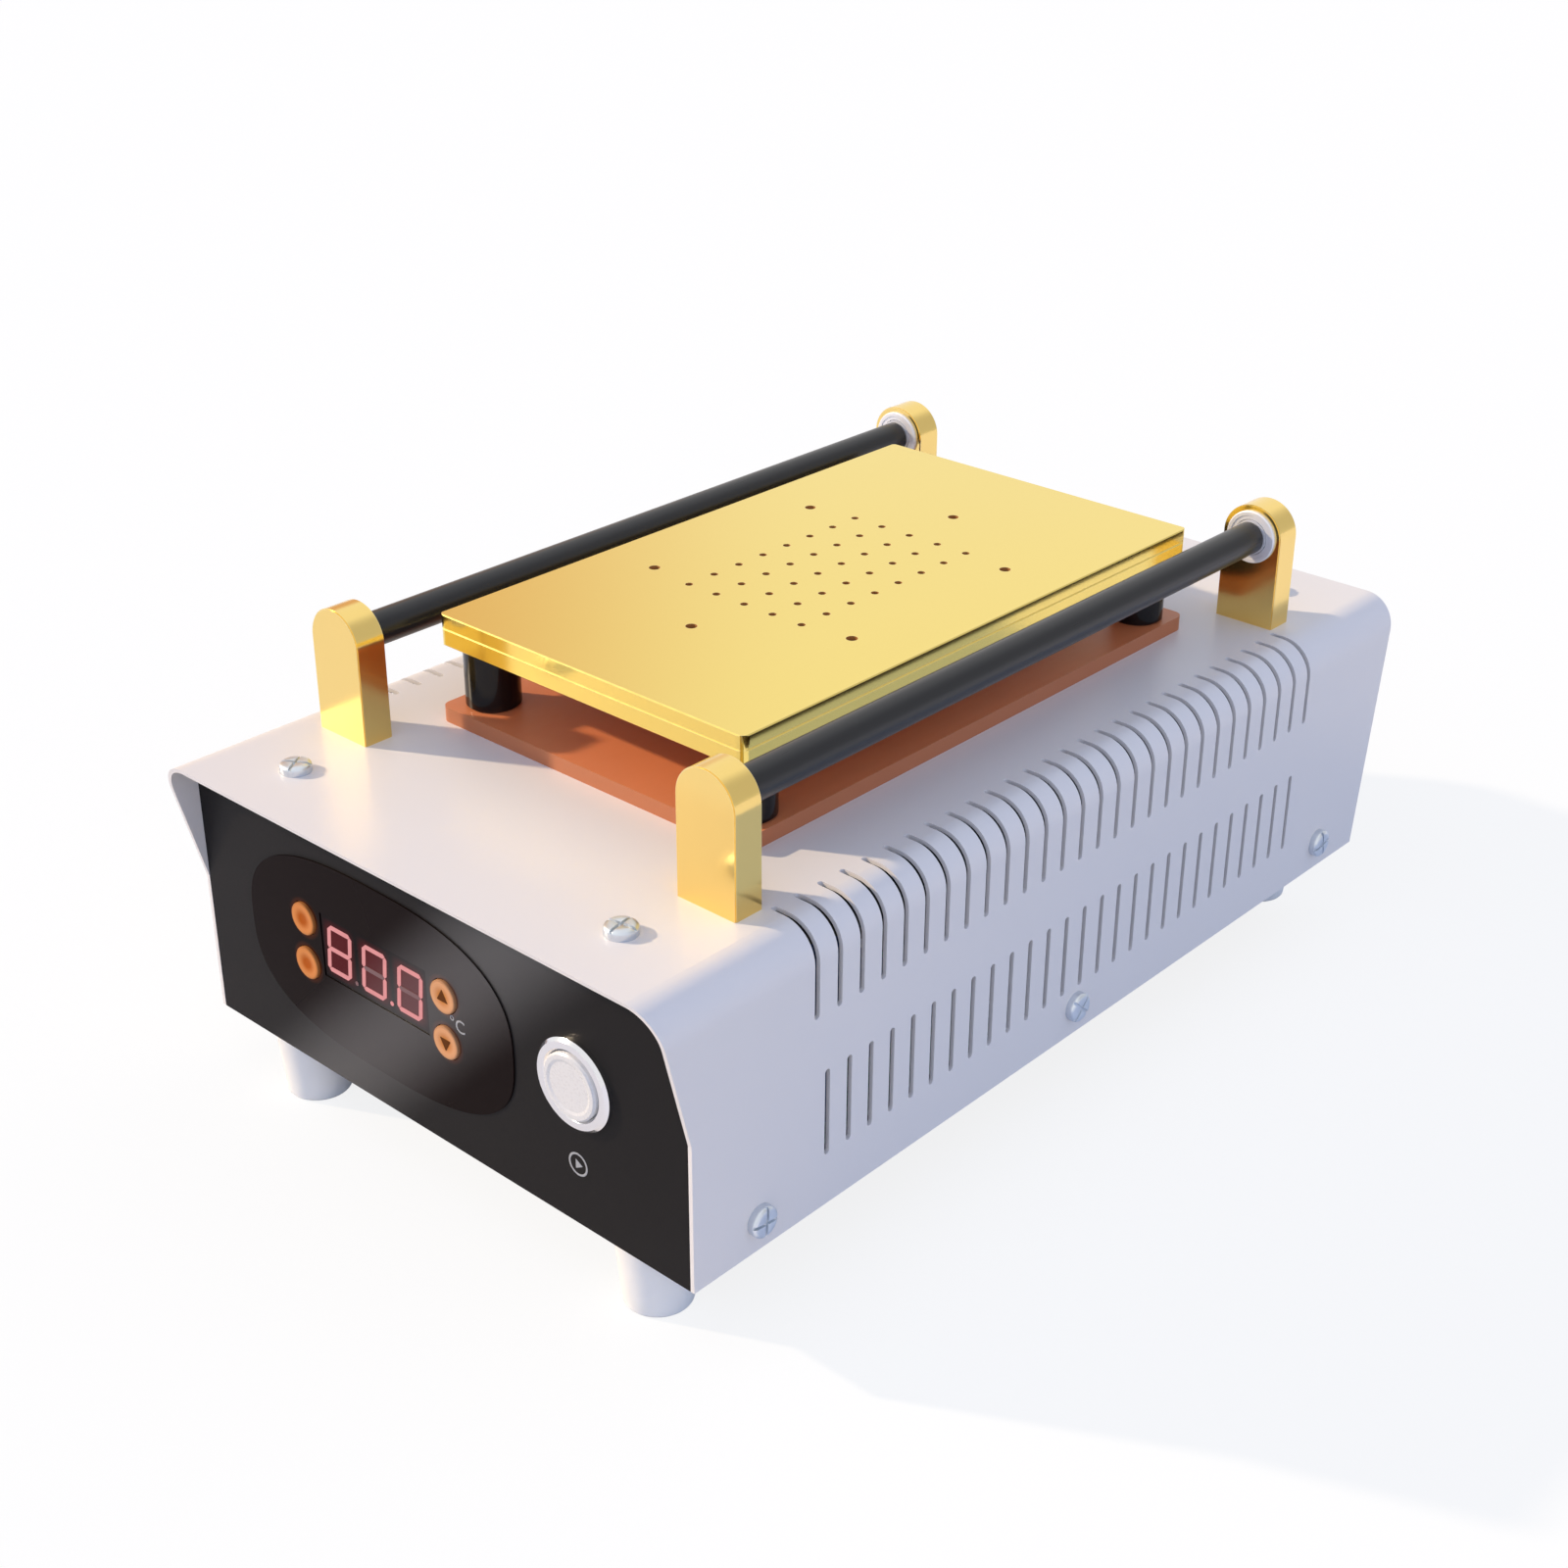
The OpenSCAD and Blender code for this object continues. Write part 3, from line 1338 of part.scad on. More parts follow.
module side_screws() {
    color("silver") for (s = [-1, 1], y = [-side_screw_dy / 2, 0, side_screw_dy / 2])
        translate([s * half_w, y, foot_h + side_screw_z]) rotate([0, s * 90, 0])
            pan_screw(cover_screw_d, cover_screw_l, screw_head_d, cover_head_h);
}

top_cover();
chassis();
front_panel();
display_overlay();
display_module();
lit_segments();
unlit_segments();
control_board();
board_spacers();
key_switches();
key_upper_left();
key_lower_left();
key_up();
key_down();
start_button_housing();
start_button_nut();
start_button_cap();
mains_inlet();
inlet_pins();
fuse_drawer();
fuse();
power_rocker();
rubber_feet();
foot_screws();
front_left_bracket();
front_right_bracket();
rear_left_bracket();
rear_right_bracket();
bracket_screws();
bearing_outer_rings();
bearing_shields();
bearing_balls();
left_inner_rings();
right_inner_rings();
left_rod();
right_rod();
suction_plate();
chamber_plate();
chamber_seal();
clamp_screws();
heater_mat();
temperature_probe();
standoffs();
standoff_screws();
insulating_board();
vacuum_nipple();
vacuum_hose();
hose_grommet();
pump_head();
pump_motor();
pump_saddle();
pump_mounts();
transformer_core();
transformer_coil();
heater_relay();
power_board();
power_board_parts();
base_screws();
top_screws();
side_screws();
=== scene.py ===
"""Looks of a bench separator for LCD screens: its finishes, screws, feet, keys, marks and stage."""

import math

import bmesh
import bpy
from mathutils import Matrix, Vector


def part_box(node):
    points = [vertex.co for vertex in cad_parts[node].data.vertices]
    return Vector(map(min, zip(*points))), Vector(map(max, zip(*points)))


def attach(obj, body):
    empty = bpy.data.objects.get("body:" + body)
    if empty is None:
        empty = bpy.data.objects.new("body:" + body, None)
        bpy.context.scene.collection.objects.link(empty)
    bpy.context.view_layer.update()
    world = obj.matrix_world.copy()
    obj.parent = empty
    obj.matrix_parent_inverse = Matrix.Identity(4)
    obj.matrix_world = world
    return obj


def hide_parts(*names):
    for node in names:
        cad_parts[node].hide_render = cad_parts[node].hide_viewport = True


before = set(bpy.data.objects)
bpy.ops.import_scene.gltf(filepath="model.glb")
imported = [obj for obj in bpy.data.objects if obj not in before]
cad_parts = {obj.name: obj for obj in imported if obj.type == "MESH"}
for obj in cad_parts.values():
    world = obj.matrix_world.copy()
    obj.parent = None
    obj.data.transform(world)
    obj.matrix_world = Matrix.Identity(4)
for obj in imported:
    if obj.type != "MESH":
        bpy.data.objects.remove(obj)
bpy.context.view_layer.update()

bl_info = {
    "name": "Screen Separator",
    "version": (1, 0, 0),
    "blender": (4, 5, 0),
    "location": "View3D > Sidebar > Separator",
    "description": "Dresses a bench separator for LCD screens in its finishes and small parts",
    "category": "Object",
}

MM = 0.001
BLACK = (0, 0, 0, 1)
WHITE = (1, 1, 1, 1)
KEYS = ("key_upper_left", "key_lower_left", "key_up", "key_down")

# Thickness of a printed mark
PRINT_THICKNESS = 0.08 * MM

# Where a key's flange starts, how far it reaches past the cap, how thick it is, and the stem behind it
FLANGE_FRONT_Y = -149.6 * MM
FLANGE_REACH = 0.9 * MM
FLANGE_THICKNESS = 0.9 * MM
STEM_RADIUS = 1.75 * MM

# Darker patches of the studio that only reflections see: heading, where each starts and is full, colour
STUDIO_PATCHES = (
    ((-0.9, 0.3, 0.3), 0.87, 0.97, (0.78, 0.48, 0.30, 1)),
    ((0.66, 0.64, 0.40), 0.72, 0.98, (0.62, 0.62, 0.62, 1)),
)


# Settings

class CabinetSettings(bpy.types.PropertyGroup):
    """Paint of the cabinet and its panel"""
    paint: bpy.props.FloatVectorProperty(
        name="Cover Paint", description="Colour of the powder coat on the cover",
        subtype="COLOR", default=(0.83, 0.79, 0.765), min=0, max=1)
    paint_roughness: bpy.props.FloatProperty(
        name="Paint Roughness", description="How matt the powder coat is",
        subtype="FACTOR", default=0.36, min=0, max=1)
    panel: bpy.props.FloatVectorProperty(
        name="Panel", description="Colour of the satin black front panel",
        subtype="COLOR", default=(0.0100, 0.0088, 0.0092), min=0, max=1)
    overlay: bpy.props.FloatVectorProperty(
        name="Overlay", description="Colour of the gloss film round the display",
        subtype="COLOR", default=(0.0075, 0.0035, 0.0032), min=0, max=1)
    foot: bpy.props.FloatVectorProperty(
        name="Foot Rubber", description="Colour of the rubber feet",
        subtype="COLOR", default=(0.90, 0.90, 0.89), min=0, max=1)


class DeckSettings(bpy.types.PropertyGroup):
    """Finishes of the plates, brackets, rods and board"""
    plate: bpy.props.FloatVectorProperty(
        name="Plate Gold", description="Colour of the anodised plates",
        subtype="COLOR", default=(0.92, 0.71, 0.195), min=0, max=1)
    hole_wall: bpy.props.FloatVectorProperty(
        name="Hole Wall", description="Colour of the walls of the plate's drilled holes",
        subtype="COLOR", default=(0.42, 0.17, 0.035), min=0, max=1)
    bracket: bpy.props.FloatVectorProperty(
        name="Bracket Gold", description="Colour of the anodised brackets",
        subtype="COLOR", default=(0.94, 0.69, 0.235), min=0, max=1)
    rod: bpy.props.FloatVectorProperty(
        name="Rod", description="Colour of the satin rods",
        subtype="COLOR", default=(0.012, 0.012, 0.0135), min=0, max=1)
    board: bpy.props.FloatVectorProperty(
        name="Board", description="Colour of the laminate under the plates",
        subtype="COLOR", default=(0.74, 0.235, 0.092), min=0, max=1)
    board_edge: bpy.props.FloatVectorProperty(
        name="Board Edge", description="Colour of the laminate's cut edges",
        subtype="COLOR", default=(0.52, 0.175, 0.072), min=0, max=1)


class ControlSettings(bpy.types.PropertyGroup):
    """Keys and display"""
    key: bpy.props.FloatVectorProperty(
        name="Left Key", description="Colour of the two keys on the left",
        subtype="COLOR", default=(0.66, 0.245, 0.070), min=0, max=1)
    key_middle: bpy.props.FloatVectorProperty(
        name="Left Key Middle", description="Deeper colour in the middle of the left keys",
        subtype="COLOR", default=(0.44, 0.090, 0.002), min=0, max=1)
    arrow_key: bpy.props.FloatVectorProperty(
        name="Arrow Key", description="Colour of the two keys with arrows",
        subtype="COLOR", default=(0.71, 0.355, 0.175), min=0, max=1)
    arrow_key_middle: bpy.props.FloatVectorProperty(
        name="Arrow Key Middle", description="Deeper colour in the middle of the keys with arrows",
        subtype="COLOR", default=(0.56, 0.20, 0.045), min=0, max=1)
    digit: bpy.props.FloatVectorProperty(
        name="Digit", description="Colour that the lit strokes give off",
        subtype="COLOR", default=(0.69, 0.26, 0.265), min=0, max=1)
    glow: bpy.props.FloatVectorProperty(
        name="Glow", description="Colour of the glow in the display round a lit stroke",
        subtype="COLOR", default=(0.084, 0.004, 0.006), min=0, max=1)
    digit_pitch: bpy.props.FloatProperty(
        name="Digit Pitch", description="Distance from digit to digit",
        subtype="DISTANCE", unit="LENGTH", default=14.2 * MM, min=8 * MM, max=20 * MM)
    arrow_size: bpy.props.FloatProperty(
        name="Arrow Size", description="Height of the arrows on the right keys",
        subtype="DISTANCE", unit="LENGTH", default=3.6 * MM, min=1 * MM, max=6 * MM)


class ScrewSettings(bpy.types.PropertyGroup):
    """Shape of the cover screws"""
    head_radius: bpy.props.FloatProperty(
        name="Head Radius", description="Radius of a cover screw's head",
        subtype="DISTANCE", unit="LENGTH", default=4.3 * MM, min=3 * MM, max=5 * MM)
    shank_radius: bpy.props.FloatProperty(
        name="Shank Radius", description="Radius of a cover screw's shank",
        subtype="DISTANCE", unit="LENGTH", default=2 * MM, min=1 * MM, max=2.5 * MM)
    recess_width: bpy.props.FloatProperty(
        name="Recess Width", description="Width of the cross cut in the head",
        subtype="DISTANCE", unit="LENGTH", default=0.85 * MM, min=0.5 * MM, max=1.6 * MM)
    recess_depth: bpy.props.FloatProperty(
        name="Recess Depth", description="Depth of the cross cut in the head",
        subtype="DISTANCE", unit="LENGTH", default=0.85 * MM, min=0.5 * MM, max=1.8 * MM)


class StageSettings(bpy.types.PropertyGroup):
    """Light, floor and camera"""
    sun_strength: bpy.props.FloatProperty(
        name="Sun Strength", description="Strength of the main lamp",
        default=3.5, min=0, max=10)
    sun_colour: bpy.props.FloatVectorProperty(
        name="Sun Colour", description="Colour of the main lamp",
        subtype="COLOR", default=(1.0, 0.80, 0.55), min=0, max=1)
    sun_heading: bpy.props.FloatVectorProperty(
        name="Sun Heading", description="Direction in which the main lamp shines",
        subtype="DIRECTION", default=(0.784, 0.428, -0.45))
    sky: bpy.props.FloatVectorProperty(
        name="Sky", description="Colour of the light from all round",
        subtype="COLOR", default=(0.48, 0.55, 0.74), min=0, max=1)
    sky_lean: bpy.props.FloatVectorProperty(
        name="Sky Lean", description="Direction and share by which the light from all round leans",
        default=(0.62, -0.30, 0))
    shadow: bpy.props.FloatProperty(
        name="Floor Shadow", description="How much of the shadow the white floor shows",
        subtype="FACTOR", default=0.16, min=0, max=1)
    camera_place: bpy.props.FloatVectorProperty(
        name="Camera Place", description="Where the camera stands",
        subtype="TRANSLATION", unit="LENGTH", default=(0.39327, -0.45094, 0.37479))
    camera_turn: bpy.props.FloatVectorProperty(
        name="Camera Turn", description="How the camera is turned",
        subtype="EULER", unit="ROTATION", default=(1.095946, -0.003063, 0.738130))
    lens: bpy.props.FloatProperty(
        name="Lens", description="Focal length in millimetres on a 36 mm sensor",
        default=52.70, min=20, max=200)


# Selecting and placing

def select_only(piece):
    bpy.ops.object.select_all(action="DESELECT")
    piece.select_set(True)
    bpy.context.view_layer.objects.active = piece


def apply_place(piece):
    """Moves the piece's place, turn and scale into its mesh."""
    select_only(piece)
    bpy.ops.object.transform_apply(location=True, rotation=True, scale=True)


def start_edit(piece, mode="FACE"):
    select_only(piece)
    bpy.ops.object.mode_set(mode="EDIT")
    bpy.ops.mesh.select_mode(type=mode)


def end_edit():
    bpy.ops.object.mode_set(mode="OBJECT")


def pick_faces(piece, test):
    """Selects the faces for which test(centre, normal) holds, and nothing else."""
    bpy.ops.mesh.select_all(action="DESELECT")
    mesh = bmesh.from_edit_mesh(piece.data)
    for face in mesh.faces:
        if test(face.calc_center_median(), face.normal):
            face.select_set(True)
    bmesh.update_edit_mesh(piece.data)


def pick_edges(piece, test):
    """Selects the edges for which test(first end, second end) holds, and nothing else."""
    bpy.ops.mesh.select_all(action="DESELECT")
    mesh = bmesh.from_edit_mesh(piece.data)
    for edge in mesh.edges:
        if test(edge.verts[0].co, edge.verts[1].co):
            edge.select_set(True)
    bmesh.update_edit_mesh(piece.data)


def inset(thickness, depth=0):
    bpy.ops.mesh.inset(thickness=thickness, depth=depth)


def push(offset):
    bpy.ops.mesh.extrude_region_move(TRANSFORM_OT_translate={"value": tuple(offset)})


def scale_about(centre, factors):
    bpy.ops.transform.resize(value=tuple(factors), center_override=tuple(centre))


def finish_mesh(piece, angle=35, weld=0.001 * MM):
    """Welds what lies together, turns all faces outwards and shades the gentle edges smooth."""
    start_edit(piece)
    bpy.ops.mesh.select_all(action="SELECT")
    bpy.ops.mesh.remove_doubles(threshold=weld)
    bpy.ops.mesh.normals_make_consistent(inside=False)
    end_edit()
    bpy.ops.object.shade_smooth_by_angle(angle=math.radians(angle))


def round_edges(piece, width, segments=2, angle=30):
    select_only(piece)
    bevel = piece.modifiers.new("Rounding", "BEVEL")
    bevel.width = width
    bevel.segments = segments
    bevel.limit_method = "ANGLE"
    bevel.angle_limit = math.radians(angle)
    bpy.ops.object.modifier_apply(modifier=bevel.name)


def cut(piece, tool):
    """Cuts the tool's shape out of the piece and removes the tool."""
    select_only(piece)
    boolean = piece.modifiers.new("Cut", "BOOLEAN")
    boolean.operation = "DIFFERENCE"
    boolean.solver = "EXACT"
    boolean.object = tool
    bpy.ops.object.modifier_apply(modifier=boolean.name)
    bpy.data.objects.remove(tool)


def copy_at(piece, place):
    """A copy of the piece with its own mesh, moved by the matrix."""
    twin = piece.copy()
    twin.data = piece.data.copy()
    bpy.context.collection.objects.link(twin)
    twin.data.transform(place)
    return twin


def join_as(name, pieces):
    bpy.ops.object.select_all(action="DESELECT")
    for piece in pieces:
        piece.select_set(True)
    bpy.context.view_layer.objects.active = pieces[0]
    bpy.ops.object.join()
    joined = bpy.context.object
    joined.name = name
    return joined


def fit(piece, material, body, slot, *nodes):
    """Gives the piece its finish, its body and the nodes that it stands for. The slot is not used."""
    piece.data.materials.clear()
    piece.data.materials.append(material)
    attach(piece, body)
    if nodes:
        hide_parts(*nodes)


def give(material, nodes):
    """Gives the finish to the nodes of the frame."""
    for node in nodes:
        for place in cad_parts[node].material_slots:
            place.material = material


# Shader nodes

def add(tree, kind, **settings):
    node = tree.nodes.new(kind)
    for key, value in settings.items():
        setattr(node, key, value)
    return node


def feed(tree, socket, value):
    """Links the value to the socket if it is another node's output, and else sets it there."""
    if hasattr(value, "is_output"):
        tree.links.new(value, socket)
    else:
        socket.default_value = value


def math_node(tree, operation, *values, clamp=False):
    node = add(tree, "ShaderNodeMath", operation=operation, use_clamp=clamp)
    for socket, value in zip(node.inputs, values):
        feed(tree, socket, value)
    return node.outputs[0]


def vector_node(tree, operation, *vectors):
    """A vector operation. DOT_PRODUCT and LENGTH give a number, the others a vector."""
    node = add(tree, "ShaderNodeVectorMath", operation=operation)
    for socket, vector in zip(node.inputs, vectors):
        feed(tree, socket, vector)
    return node.outputs["Value" if operation in ("DOT_PRODUCT", "LENGTH") else "Vector"]


def scaled(tree, vector, share):
    node = add(tree, "ShaderNodeVectorMath", operation="SCALE")
    feed(tree, node.inputs["Vector"], vector)
    feed(tree, node.inputs["Scale"], share)
    return node.outputs["Vector"]


def split(tree, vector):
    """The vector's X, Y and Z."""
    node = add(tree, "ShaderNodeSeparateXYZ")
    tree.links.new(vector, node.inputs[0])
    return node.outputs


def largest(tree, masks):
    """The largest of the masks at each point."""
    whole = masks[0]
    for mask in masks[1:]:
        whole = math_node(tree, "MAXIMUM", whole, mask)
    return whole


def mix_colour(tree, mask, below, above):
    """The colour below where the mask is nought, and the one above where it is one."""
    node = add(tree, "ShaderNodeMix", data_type="RGBA")
    feed(tree, node.inputs["Factor"], mask)
    feed(tree, node.inputs[6], below)
    feed(tree, node.inputs[7], above)
    return node.outputs[2]


def object_place(tree):
    return add(tree, "ShaderNodeTexCoord").outputs["Object"]


def away_from(tree, centre):
    """The way from the centre to the point."""
    return vector_node(tree, "SUBTRACT", object_place(tree), centre)


def noise_at(tree, place, scale, detail=2.0):
    node = add(tree, "ShaderNodeTexNoise")
    feed(tree, node.inputs["Vector"], place)
    feed(tree, node.inputs["Scale"], scale)
    feed(tree, node.inputs["Detail"], detail)
    return node.outputs["Fac"]


# Shader node groups

def new_group(name, inputs, outputs):
    """A new group, with the sockets that its nodes read from and those that they end in."""
    group = bpy.data.node_groups.new(name, "ShaderNodeTree")
    for label, kind, value in inputs:
        socket = group.interface.new_socket(name=label, in_out="INPUT", socket_type=kind)
        socket.default_value = value
    for label, kind in outputs:
        group.interface.new_socket(name=label, in_out="OUTPUT", socket_type=kind)
    return group, group.nodes.new("NodeGroupInput").outputs, group.nodes.new("NodeGroupOutput").inputs


def stretched_noise(group, inputs, detail):
    """Noise on Object coordinates, with the group's Size and Stretch."""
    place = vector_node(group, "MULTIPLY", object_place(group), inputs["Stretch"])
    return noise_at(group, place, inputs["Size"], detail)


def build_tone_group():
    """Makes a colour a little lighter and darker over the surface."""
    group, inputs, outputs = new_group("Tone drift", [
        ("Colour", "NodeSocketColor", WHITE), ("Depth", "NodeSocketFloat", 0.05),
        ("Size", "NodeSocketFloat", 20.0), ("Stretch", "NodeSocketVector", (1, 1, 1)),
    ], [("Colour", "NodeSocketColor")])
    swing = math_node(group, "MULTIPLY_ADD", stretched_noise(group, inputs, 3), 4.0, -2.0)
    share = math_node(group, "MULTIPLY_ADD", swing, inputs["Depth"], 1.0)
    group.links.new(scaled(group, inputs["Colour"], share), outputs["Colour"])
    return group


def build_grain_group():
    """Fine grain: a height for bumps, and a roughness that varies with it."""
    group, inputs, outputs = new_group("Fine grain", [
        ("Roughness", "NodeSocketFloat", 0.4), ("Spread", "NodeSocketFloat", 0.05),
        ("Size", "NodeSocketFloat", 900.0), ("Stretch", "NodeSocketVector", (1, 1, 1)),
    ], [("Height", "NodeSocketFloat"), ("Roughness", "NodeSocketFloat")])
    noise = stretched_noise(group, inputs, 2)
    swing = math_node(group, "MULTIPLY_ADD", noise, 2.0, -1.0)
    rough = math_node(group, "MULTIPLY_ADD", swing, inputs["Spread"], inputs["Roughness"], clamp=True)
    group.links.new(noise, outputs["Height"])
    group.links.new(rough, outputs["Roughness"])
    return group


def build_edge_group():
    """Lightens a colour along sharp edges, partly as wear where a coat is thin or rubbed and partly as a
    painted highlight where light catches the edge.
    """
    group, inputs, outputs = new_group("Rubbed and highlit edges", [
        ("Colour", "NodeSocketColor", WHITE), ("Edge", "NodeSocketColor", WHITE),
        ("Amount", "NodeSocketFloat", 0.5),
    ], [("Colour", "NodeSocketColor")])
    rounded = add(group, "ShaderNodeBevel", samples=4)
    rounded.inputs["Radius"].default_value = 0.35 * MM
    flat = add(group, "ShaderNodeNewGeometry")
    facing = vector_node(group, "DOT_PRODUCT", rounded.outputs[0], flat.outputs["Normal"])
    bend = math_node(group, "SUBTRACT", 1.0, facing)
    wear_and_highlight = math_node(group, "MULTIPLY", bend, noise_at(group, object_place(group), 260.0))
    strong = math_node(group, "MULTIPLY", wear_and_highlight, 14.0)
    share = math_node(group, "MULTIPLY", strong, inputs["Amount"], clamp=True)
    group.links.new(mix_colour(group, share, inputs["Colour"], inputs["Edge"]), outputs["Colour"])
    return group


def build_spot_group():
    """A soft round spot about a centre, seen along Y, and all that lies outside it."""
    group, inputs, outputs = new_group("Round spot", [
        ("Centre", "NodeSocketVector", (0, 0, 0)), ("Radius", "NodeSocketFloat", 0.005),
        ("Softness", "NodeSocketFloat", 0.001),
    ], [("Inside", "NodeSocketFloat"), ("Outside", "NodeSocketFloat")])
    flat = vector_node(group, "MULTIPLY", away_from(group, inputs["Centre"]), (1, 0, 1))
    past = math_node(group, "SUBTRACT", vector_node(group, "LENGTH", flat), inputs["Radius"])
    outside = math_node(group, "DIVIDE", past, inputs["Softness"], clamp=True)
    group.links.new(math_node(group, "SUBTRACT", 1.0, outside, clamp=True), outputs["Inside"])
    group.links.new(outside, outputs["Outside"])
    return group


def build_oblong_group():
    """A soft upright oblong about a centre, seen along Y."""
    group, inputs, outputs = new_group("Soft oblong", [
        ("Centre", "NodeSocketVector", (0, 0, 0)), ("Half Width", "NodeSocketFloat", 0.005),
        ("Half Height", "NodeSocketFloat", 0.008), ("Softness", "NodeSocketFloat", 0.002),
    ], [("Inside", "NodeSocketFloat")])
    away = split(group, away_from(group, inputs["Centre"]))
    sides = []
    for axis, half in (("X", "Half Width"), ("Z", "Half Height")):
        past = math_node(group, "SUBTRACT", math_node(group, "ABSOLUTE", away[axis]), inputs[half])
        over = math_node(group, "DIVIDE", past, inputs["Softness"], clamp=True)
        sides.append(math_node(group, "SUBTRACT", 1.0, over, clamp=True))
    group.links.new(math_node(group, "MULTIPLY", *sides), outputs["Inside"])
    return group


def build_band_group():
    """A soft straight band through a centre."""
    group, inputs, outputs = new_group("Slanted band", [
        ("Centre", "NodeSocketVector", (0, 0, 0)), ("Across", "NodeSocketVector", (1, 0, 0)),
        ("Half Width", "NodeSocketFloat", 0.02),
    ], [("Inside", "NodeSocketFloat")])
    far = vector_node(group, "DOT_PRODUCT", away_from(group, inputs["Centre"]), inputs["Across"])
    share = math_node(group, "DIVIDE", far, inputs["Half Width"])
    rest = math_node(group, "SUBTRACT", 1.0, math_node(group, "MULTIPLY", share, share), clamp=True)
    group.links.new(math_node(group, "MULTIPLY", rest, rest), outputs["Inside"])
    return group


def build_lines_group():
    """Even lines across an axis, such as laminations, windings or woven threads."""
    group, inputs, outputs = new_group("Even lines", [
        ("Axis", "NodeSocketVector", (0, 0, 1)), ("Per Metre", "NodeSocketFloat", 1000.0),
    ], [("Height", "NodeSocketFloat")])
    along = vector_node(group, "DOT_PRODUCT", object_place(group), inputs["Axis"])
    turns = math_node(group, "MULTIPLY", along, inputs["Per Metre"])
    wave = math_node(group, "SINE", math_node(group, "MULTIPLY", turns, 2 * math.pi))
    group.links.new(math_node(group, "MULTIPLY_ADD", wave, 0.5, 0.5), outputs["Height"])
    return group


GROUP_BUILDERS = {
    "Tone drift": build_tone_group,
    "Fine grain": build_grain_group,
    "Rubbed and highlit edges": build_edge_group,
    "Round spot": build_spot_group,
    "Soft oblong": build_oblong_group,
    "Slanted band": build_band_group,
    "Even lines": build_lines_group,
}


def place_group(tree, name, **values):
    """Puts the group into the tree with its values, and builds it if it is the first."""
    group = bpy.data.node_groups.get(name) or GROUP_BUILDERS[name]()
    node = add(tree, "ShaderNodeGroup", node_tree=group)
    for key, value in values.items():
        feed(tree, node.inputs[key.replace("_", " ")], value)
    return node.outputs


# Materials

def colour4(colour, share=1.0):
    return (colour[0] * share, colour[1] * share, colour[2] * share, 1.0)


def make_finish(name, colour, roughness, metallic=0.0, spread=0.05, drift=0.03, drift_size=20.0,
                grain_size=900.0, grain_depth=0.01, stretch=(1, 1, 1), edge=None, edge_amount=0.5,
                **sockets):
    """A finish with drifting tone, fine grain and, if edge is given, edges lightened partly by wear and
    partly by a painted highlight. Grain depth is in mm.
    """
    material = bpy.data.materials.new(name)
    material.use_nodes = True
    tree, looks = parts_of(material)
    looks["Metallic"].default_value = metallic
    for key, value in sockets.items():
        looks[key.replace("_", " ")].default_value = value
    tone = place_group(tree, "Tone drift", Colour=colour4(colour), Depth=drift, Size=drift_size,
                       Stretch=stretch)["Colour"]
    if edge:
        tone = place_group(tree, "Rubbed and highlit edges", Colour=tone, Edge=colour4(edge),
                           Amount=edge_amount)["Colour"]
    feed(tree, looks["Base Color"], tone)
    grain = place_group(tree, "Fine grain", Roughness=roughness, Spread=spread, Size=grain_size,
                        Stretch=stretch)
    bump = add(tree, "ShaderNodeBump", name="Grain")
    bump.inputs["Strength"].default_value = 1.0
    bump.inputs["Distance"].default_value = grain_depth * MM
    feed(tree, bump.inputs["Height"], grain["Height"])
    feed(tree, looks["Roughness"], grain["Roughness"])
    feed(tree, looks["Normal"], bump.outputs["Normal"])
    return material


def dress(nodes, name, colour, roughness, metallic=0.0, **looks):
    """Makes a finish, gives it to the nodes and returns it."""
    material = make_finish(name, colour, roughness, metallic, **looks)
    give(material, nodes)
    return material


def parts_of(material):
    """The material's tree and the sockets of its shader."""
    tree = material.node_tree
    return tree, tree.nodes["Principled BSDF"].inputs


def source(socket):
    """The output that the socket is linked to."""
    return socket.links[0].from_socket


def colour_over(material, mask, colour):
    """Lays a colour over the finish where the mask is one."""
    tree, looks = parts_of(material)
    feed(tree, looks["Base Color"], mix_colour(tree, mask, source(looks["Base Color"]), colour))


def light_up(material, mask, below, above):
    """Lets the surface give off light in a colour that follows the mask."""
    tree, looks = parts_of(material)
    feed(tree, looks["Emission Color"], mix_colour(tree, mask, below, above))
    looks["Emission Strength"].default_value = 1.0


def add_lines(material, axis, per_metre, depth, shade):
    """Adds even lines to a finish, as a bump over its grain and as a darker tone between them."""
    tree, looks = parts_of(material)
    height = place_group(tree, "Even lines", Axis=axis, Per_Metre=per_metre)["Height"]
    bump = add(tree, "ShaderNodeBump")
    bump.inputs["Distance"].default_value = depth * MM
    feed(tree, bump.inputs["Height"], height)
    feed(tree, bump.inputs["Normal"], tree.nodes["Grain"].outputs["Normal"])
    feed(tree, looks["Normal"], bump.outputs["Normal"])
    light = math_node(tree, "MULTIPLY_ADD", height, shade, 1.0 - shade)
    feed(tree, looks["Base Color"], scaled(tree, source(looks["Base Color"]), light))


def add_painted_sheen(material, share=1.0):
    """Adds a painted sheen: a soft slanting band of extra coat, by a share, that lays a band of reflected
    light across the finish.
    """
    tree, looks = parts_of(material)
    band = place_group(tree, "Slanted band", Centre=(0, 0, 61 * MM), Across=(0.694, 0, -0.72),
                       Half_Width=23.5 * MM)["Inside"]
    feed(tree, looks["Coat Weight"], math_node(tree, "MULTIPLY", band, share))


def zinc():
    """The bright finish of the screws, made once."""
    return bpy.data.materials.get("Bright zinc") or make_finish(
        "Bright zinc", (0.68, 0.73, 0.80), 0.36, 1.0, spread=0.08, drift=0.05, drift_size=150,
        grain_size=1800, grain_depth=0.003)


